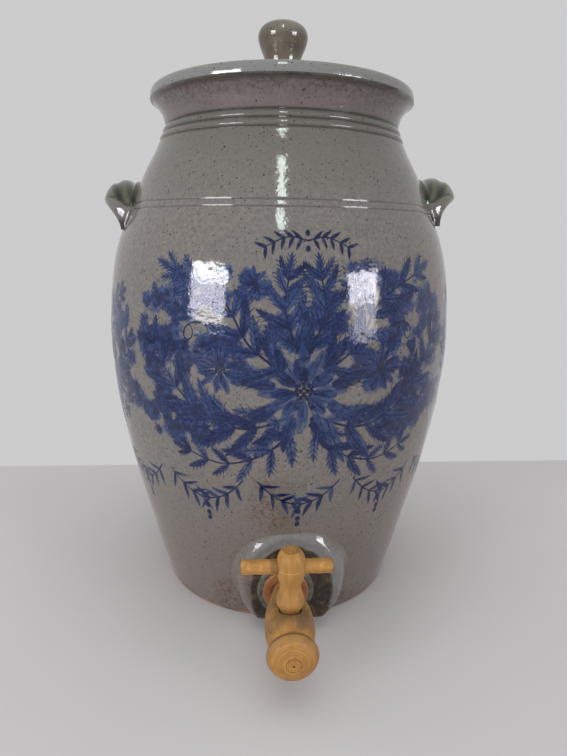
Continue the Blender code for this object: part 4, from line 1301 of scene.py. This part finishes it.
def stem(brush, points, width, tone):
    line = catmull_rom(points, 8)
    brush.strip(line, width * (1.0 - 0.45 * np.linspace(0, 1, len(line))), tone, 4)
    return line


def leafy_stem(brush, points, leaf_length, pairs, tone):
    """A curved stem with leaves in pairs that get smaller towards its end."""
    rand = brush.random
    line = stem(brush, points, 0.0022, tone + 0.3)
    for pair in range(pairs):
        share = 0.12 + 0.85 * pair / max(pairs - 1, 1)
        place = share * (len(line) - 1)
        low = int(min(place, len(line) - 2))
        root = line[low] + (line[low + 1] - line[low]) * (place - low)
        size = leaf_length * (1 - 0.45 * share) * rand.uniform(0.85, 1.12)
        for side in (-1, 1):
            angle = heading(line[low], line[low + 1]) + side * rand.uniform(0.65, 1.0)
            leaf(brush, root, angle, size, size * rand.uniform(0.34, 0.42),
                 -side * rand.uniform(0.05, 0.22), tone + rand.uniform(-0.16, 0.20))
    leaf(brush, line[-1], heading(line[-2], line[-1]), leaf_length * 0.6, leaf_length * 0.22, 0.0, tone)


def curl(brush, start, angle, size, hand, tone):
    """A tendril that winds into a spiral."""
    t = np.linspace(0, 1, 22)
    turn = 1.5 * math.tau * t * 0.62
    reach = size * (1 - 0.72 * t)
    across = hand * (size - reach * np.cos(turn)) * 0.5
    line = np.stack([across, reach * np.sin(turn) * 0.5 + size * 0.6 * t], 1)
    brush.strip(line - line[0], 0.0016 * (1 - 0.55 * t), tone, 4, angle, start)


SWAG_HEIGHT = 0.122
SWAG_HALF = 0.0275
SWAG_DROP = 0.017
SWAG_LEAVES = 8
SWAG_TONE = 0.55
SWAGS = 12


def swag(brush):
    """A hanging garland of small leaves between two points, with a drop of dots at its middle."""
    rand = brush.random
    last = SWAG_POINTS - 1
    across = np.linspace(-SWAG_HALF, SWAG_HALF, SWAG_POINTS)
    line = np.stack([across, -SWAG_DROP * (1 - (across / SWAG_HALF) ** 2)], 1)
    brush.strip(line, np.full(SWAG_POINTS, 0.0013), SWAG_TONE + 0.2, 4)
    for place in range(SWAG_LEAVES):
        share = (place + 0.5) / SWAG_LEAVES
        at = int(share * last)
        angle = heading(line[max(at - 1, 0)], line[min(at + 1, last)]) + (0 if share < 0.5 else math.pi)
        for side in (-1, 1):
            length = rand.uniform(0.010, 0.014)
            leaf_line, widths = comma(length, rand.uniform(0.0032, 0.0044), side * 0.2, 8)
            turn = angle + side * rand.uniform(0.5, 0.8)
            brush.strip(leaf_line, widths, SWAG_TONE + rand.uniform(-0.15, 0.2), 5, turn, line[at])
    dots(brush, [(0.0, -SWAG_DROP - low) for low in (0.006, 0.012, 0.0165)], 0.0021, SWAG_TONE + 0.3)


# The spray's right half: points of each leafy stem, length of its leaves, pairs of them and tone;
# start, angle and size of each curl and the way that it winds, then place, radius, tone and
# petals of each blossom
SPRAY_STEMS = (
    (((0.006, -0.020), (0.040, -0.030), (0.078, -0.012), (0.104, 0.022)), 0.034, 8, 0.45),
    (((0.008, 0.004), (0.034, 0.024), (0.050, 0.050), (0.082, 0.066)), 0.030, 7, 0.50),
    (((0.004, -0.026), (0.022, -0.046), (0.050, -0.056), (0.076, -0.050)), 0.024, 6, 0.40),
    (((0.004, 0.020), (0.012, 0.044), (0.010, 0.064)), 0.026, 5, 0.55),
)
SPRAY_CURLS = (((0.060, 0.034), 0.9, 0.020, 1), ((0.050, -0.034), 2.0, 0.018, -1))
SPRAY_FLOWERS = (((0.052, 0.008), 0.017, 0.50, 11), ((0.030, 0.060), 0.011, 0.55, 9))


def spray(brush, scale):
    """The large spray: five blossoms, arching leafy stems and curls."""
    rand = brush.random
    for hand in (-1, 1):
        mirror = np.array((hand * scale, scale))
        for points, length, pairs, tone in SPRAY_STEMS:
            leafy_stem(brush, np.array(points) * mirror, length * scale, pairs, tone)
        for start, angle, size, winds in SPRAY_CURLS:
            curl(brush, start * mirror, hand * angle, size * scale, hand * winds, 0.8)
    for angle in np.linspace(0, math.tau, 9, endpoint=False):
        start = (0.018 * scale * math.sin(angle), 0.018 * scale * math.cos(angle) - 0.004)
        leaf(brush, start, angle, rand.uniform(0.024, 0.031) * scale, 0.012 * scale,
             rand.uniform(-0.15, 0.15), rand.uniform(0.45, 0.75))
    flower(brush, (0.0, -0.004 * scale), 0.029 * scale, 0.44, 12)
    for hand in (-1, 1):
        for place, radius, tone, petals in SPRAY_FLOWERS:
            flower(brush, place * np.array((hand * scale, scale)), radius * scale, tone, petals)


SPRIG_CENTRE = (0.075, 0.2775)
SPRIG_TONE = 0.95


def sprig(brush):
    """A small sprig of two leafy stems with a dot above and below."""
    for hand in (-1, 1):
        line = stem(brush, [(0.0, -0.002), (hand * 0.012, 0.000), (hand * 0.026, -0.006)], 0.0014, SPRIG_TONE)
        for place in range(5):
            for side in (-1, 1):
                leaf_line, widths = comma(0.0075, 0.0030, side * 0.15, 7)
                angle = hand * (1.75 + 0.1 * place) + side * 0.75
                brush.strip(leaf_line, widths, SPRIG_TONE, 5, angle, line[3 + place * 3])
    dots(brush, [(0.0, 0.0025), (0.0, -0.0065)], 0.0018, SPRIG_TONE)


def paint_mesh():
    """All the cobalt on the wall: four sprays, hanging garlands and a small sprig on the shoulder."""
    brush = Brush(7)
    for turn, scale in spray_places():
        brush.centre = (turn, SPRAY_HEIGHT)
        spray(brush, scale)
    for place in range(SWAGS):
        brush.centre = (math.tau * place / SWAGS + FRONT_TURN, SWAG_HEIGHT)
        swag(brush)
    brush.centre = SPRIG_CENTRE
    sprig(brush)
    return brush.mesh("cobalt_strokes")


def make_pieces():
    add_piece("glazed_pot", pot_mesh(), pot_glaze(), "pot", "glazed_stoneware", "pot_body")
    add_piece("glazed_boss", boss_mesh(), boss_glaze(), "pot", "glazed_stoneware", "tap_boss")
    handle_green = handle_glaze()
    for name, node, *shape in HANDLES:
        add_piece(name, handle_mesh(name, *shape), handle_green, "pot", "handle_glaze", node)
    add_piece("glazed_lid", lid_mesh(), lid_glaze(), "lid", "glazed_stoneware", "lid_plate")
    add_piece("glazed_knob", knob_mesh(), knob_glaze(), "lid", "knob_glaze", "lid_knob")
    add_piece("wooden_barrel", barrel_mesh(), barrel_wood(), "pot", "turned_wood", "tap_barrel")
    add_piece("wooden_key", key_mesh(), key_wood(), "key", "turned_wood", "tap_key")
    add_piece("wooden_crossbar", crossbar_mesh(), crossbar_wood(), "key", "turned_wood", "key_crossbar")
    cork = cork_material()
    add_piece("cork_bung", bung_mesh(), cork, "pot", "cork", "bung_cork")
    add_piece("rubber_washer", washer_mesh(), washer_material(), "pot", "washer_rubber", "seal_washer")
    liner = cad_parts["key_cork_liner"]
    liner.data.materials.clear()
    liner.data.materials.append(cork)
    paint = add_piece("cobalt_strokes", paint_mesh(), cobalt_paint(), "pot", "glazed_stoneware")
    paint.visible_shadow = False


# The photo's camera
PHOTO_LONG_SIDE = 756
FOCAL_PIXELS = 567.5
CAMERA_DISTANCE = 0.467
CAMERA_HEIGHT = 0.2765
CAMERA_AIM = math.radians(3.3)
CAMERA_YAW = CAMERA_AIM + math.radians(0.5)
CAMERA_PITCH = math.radians(13.8)
CAMERA_ROLL = math.radians(0.85)


def make_camera():
    camera = bpy.data.cameras.new("camera")
    camera.sensor_width = 36.0
    camera.lens = camera.sensor_width * FOCAL_PIXELS / PHOTO_LONG_SIDE
    camera.clip_start = 0.01
    holder = add_object("camera", camera)
    away = -CAMERA_DISTANCE
    place = (away * math.sin(CAMERA_AIM), away * math.cos(CAMERA_AIM), CAMERA_HEIGHT)
    holder.matrix_world = (
        Matrix.Translation(place) @ Matrix.Rotation(-CAMERA_YAW, 4, "Z")
        @ Matrix.Rotation(math.radians(90) - CAMERA_PITCH, 4, "X") @ Matrix.Rotation(CAMERA_ROLL, 4, "Z")
    )
    bpy.context.scene.camera = holder


# Lamps: name, azimuth from -Y towards +X, elevation, distance, width, height, power that lights
# the surfaces, power that only their reflections show, colour
LAMPS = (
    ("left_window_top", -47.7, 17.2, 1.7, 0.66, 0.21, 4.0, 12.0, (0.96, 0.98, 1.0)),
    ("left_window", -47.7, 7.4, 1.7, 0.66, 0.36, 6.0, 10.5, (0.93, 0.92, 1.0)),
    ("right_window", 49.2, 11.7, 1.7, 0.58, 0.39, 5.0, 14.0, (0.96, 0.93, 1.0)),
    ("right_sill", 49.2, 1.2, 1.7, 0.48, 0.20, 0.0, 2.2, (0.96, 0.93, 1.0)),
    ("top_strip", -3, 52.7, 1.6, 0.11, 0.50, 0.6, 3.0, (0.85, 1.0, 0.90)),
    ("ceiling", 10, 88, 1.8, 2.2, 2.2, 14.5, 0.0, (1.0, 0.99, 0.97)),
)
GLINT_NEARER = 0.03
LAMP_AIM = Vector((0, 0, 0.2))
WORLD_LIGHT = 0.36
WALL_COLOUR = (0.605, 0.600, 0.608)
FLOOR_COLOUR = (0.735, 0.712, 0.718)
FLOOR_CLOUD = (0.640, 0.618, 0.624)
FLOOR_BACK = 0.205
FLOOR_REACH = 2.4


def make_lamps():
    for name, azimuth, elevation, distance, width, height, power, glint, colour in LAMPS:
        a, e = math.radians(azimuth), math.radians(elevation)
        towards = Vector((math.sin(a) * math.cos(e), -math.cos(a) * math.cos(e), math.sin(e)))
        for share, label, lights in ((power, name, True), (glint, name + "_glint", False)):
            if not share:
                continue
            lamp = bpy.data.lights.new(label, "AREA")
            lamp.shape = "RECTANGLE"
            lamp.size, lamp.size_y = width, height
            lamp.energy = share
            lamp.color = colour
            holder = add_object(label, lamp)
            holder.location = LAMP_AIM + towards * (distance if lights else distance - GLINT_NEARER)
            holder.rotation_mode = "QUATERNION"
            holder.rotation_quaternion = towards.to_track_quat("Z", "Y")
            holder.visible_diffuse = lights
            holder.visible_glossy = not lights


def make_world():
    """Even light, and the wall's plain colour where the camera or a mirror sees past the floor."""
    tree = Tree("plain_light", bpy.data.worlds)
    bpy.context.scene.world = tree.owner
    back = tree.nodes["Background"]
    tree.feed_all(back, {"Color": (1.0, 1.0, 1.0), "Strength": WORLD_LIGHT})
    seen = tree.node("Background", {"Color": WALL_COLOUR, "Strength": 1.0})
    path = tree.nodes.new("ShaderNodeLightPath").outputs
    shown = path["Is Camera Ray"]
    for ray in ("Is Glossy Ray", "Is Transmission Ray"):
        shown = tree.math("MAXIMUM", shown, path[ray])
    mixed = tree.node("MixShader", {0: shown, 1: back.outputs[0], 2: seen})
    tree.feed(tree.nodes["World Output"].inputs["Surface"], mixed)


def make_floor():
    mesh = bpy.data.meshes.new("floor")
    mesh.from_pydata([
        (-FLOOR_REACH, -FLOOR_REACH, 0), (FLOOR_REACH, -FLOOR_REACH, 0),
        (FLOOR_REACH, FLOOR_BACK, 0), (-FLOOR_REACH, FLOOR_BACK, 0),
    ], [], [(0, 1, 2, 3)])
    tree = Tree("floor")
    colour = tree.place().noise(6, 2.0).span(0.3, 0.7, 0.0, 0.15).mix(FLOOR_COLOUR, FLOOR_CLOUD)
    mesh.materials.append(tree.finish(colour, 0.60, gloss=0.05))
    add_object("floor", mesh)


make_pieces()
make_camera()
make_lamps()
make_world()
make_floor()
bpy.context.scene.view_settings.view_transform = "Standard"
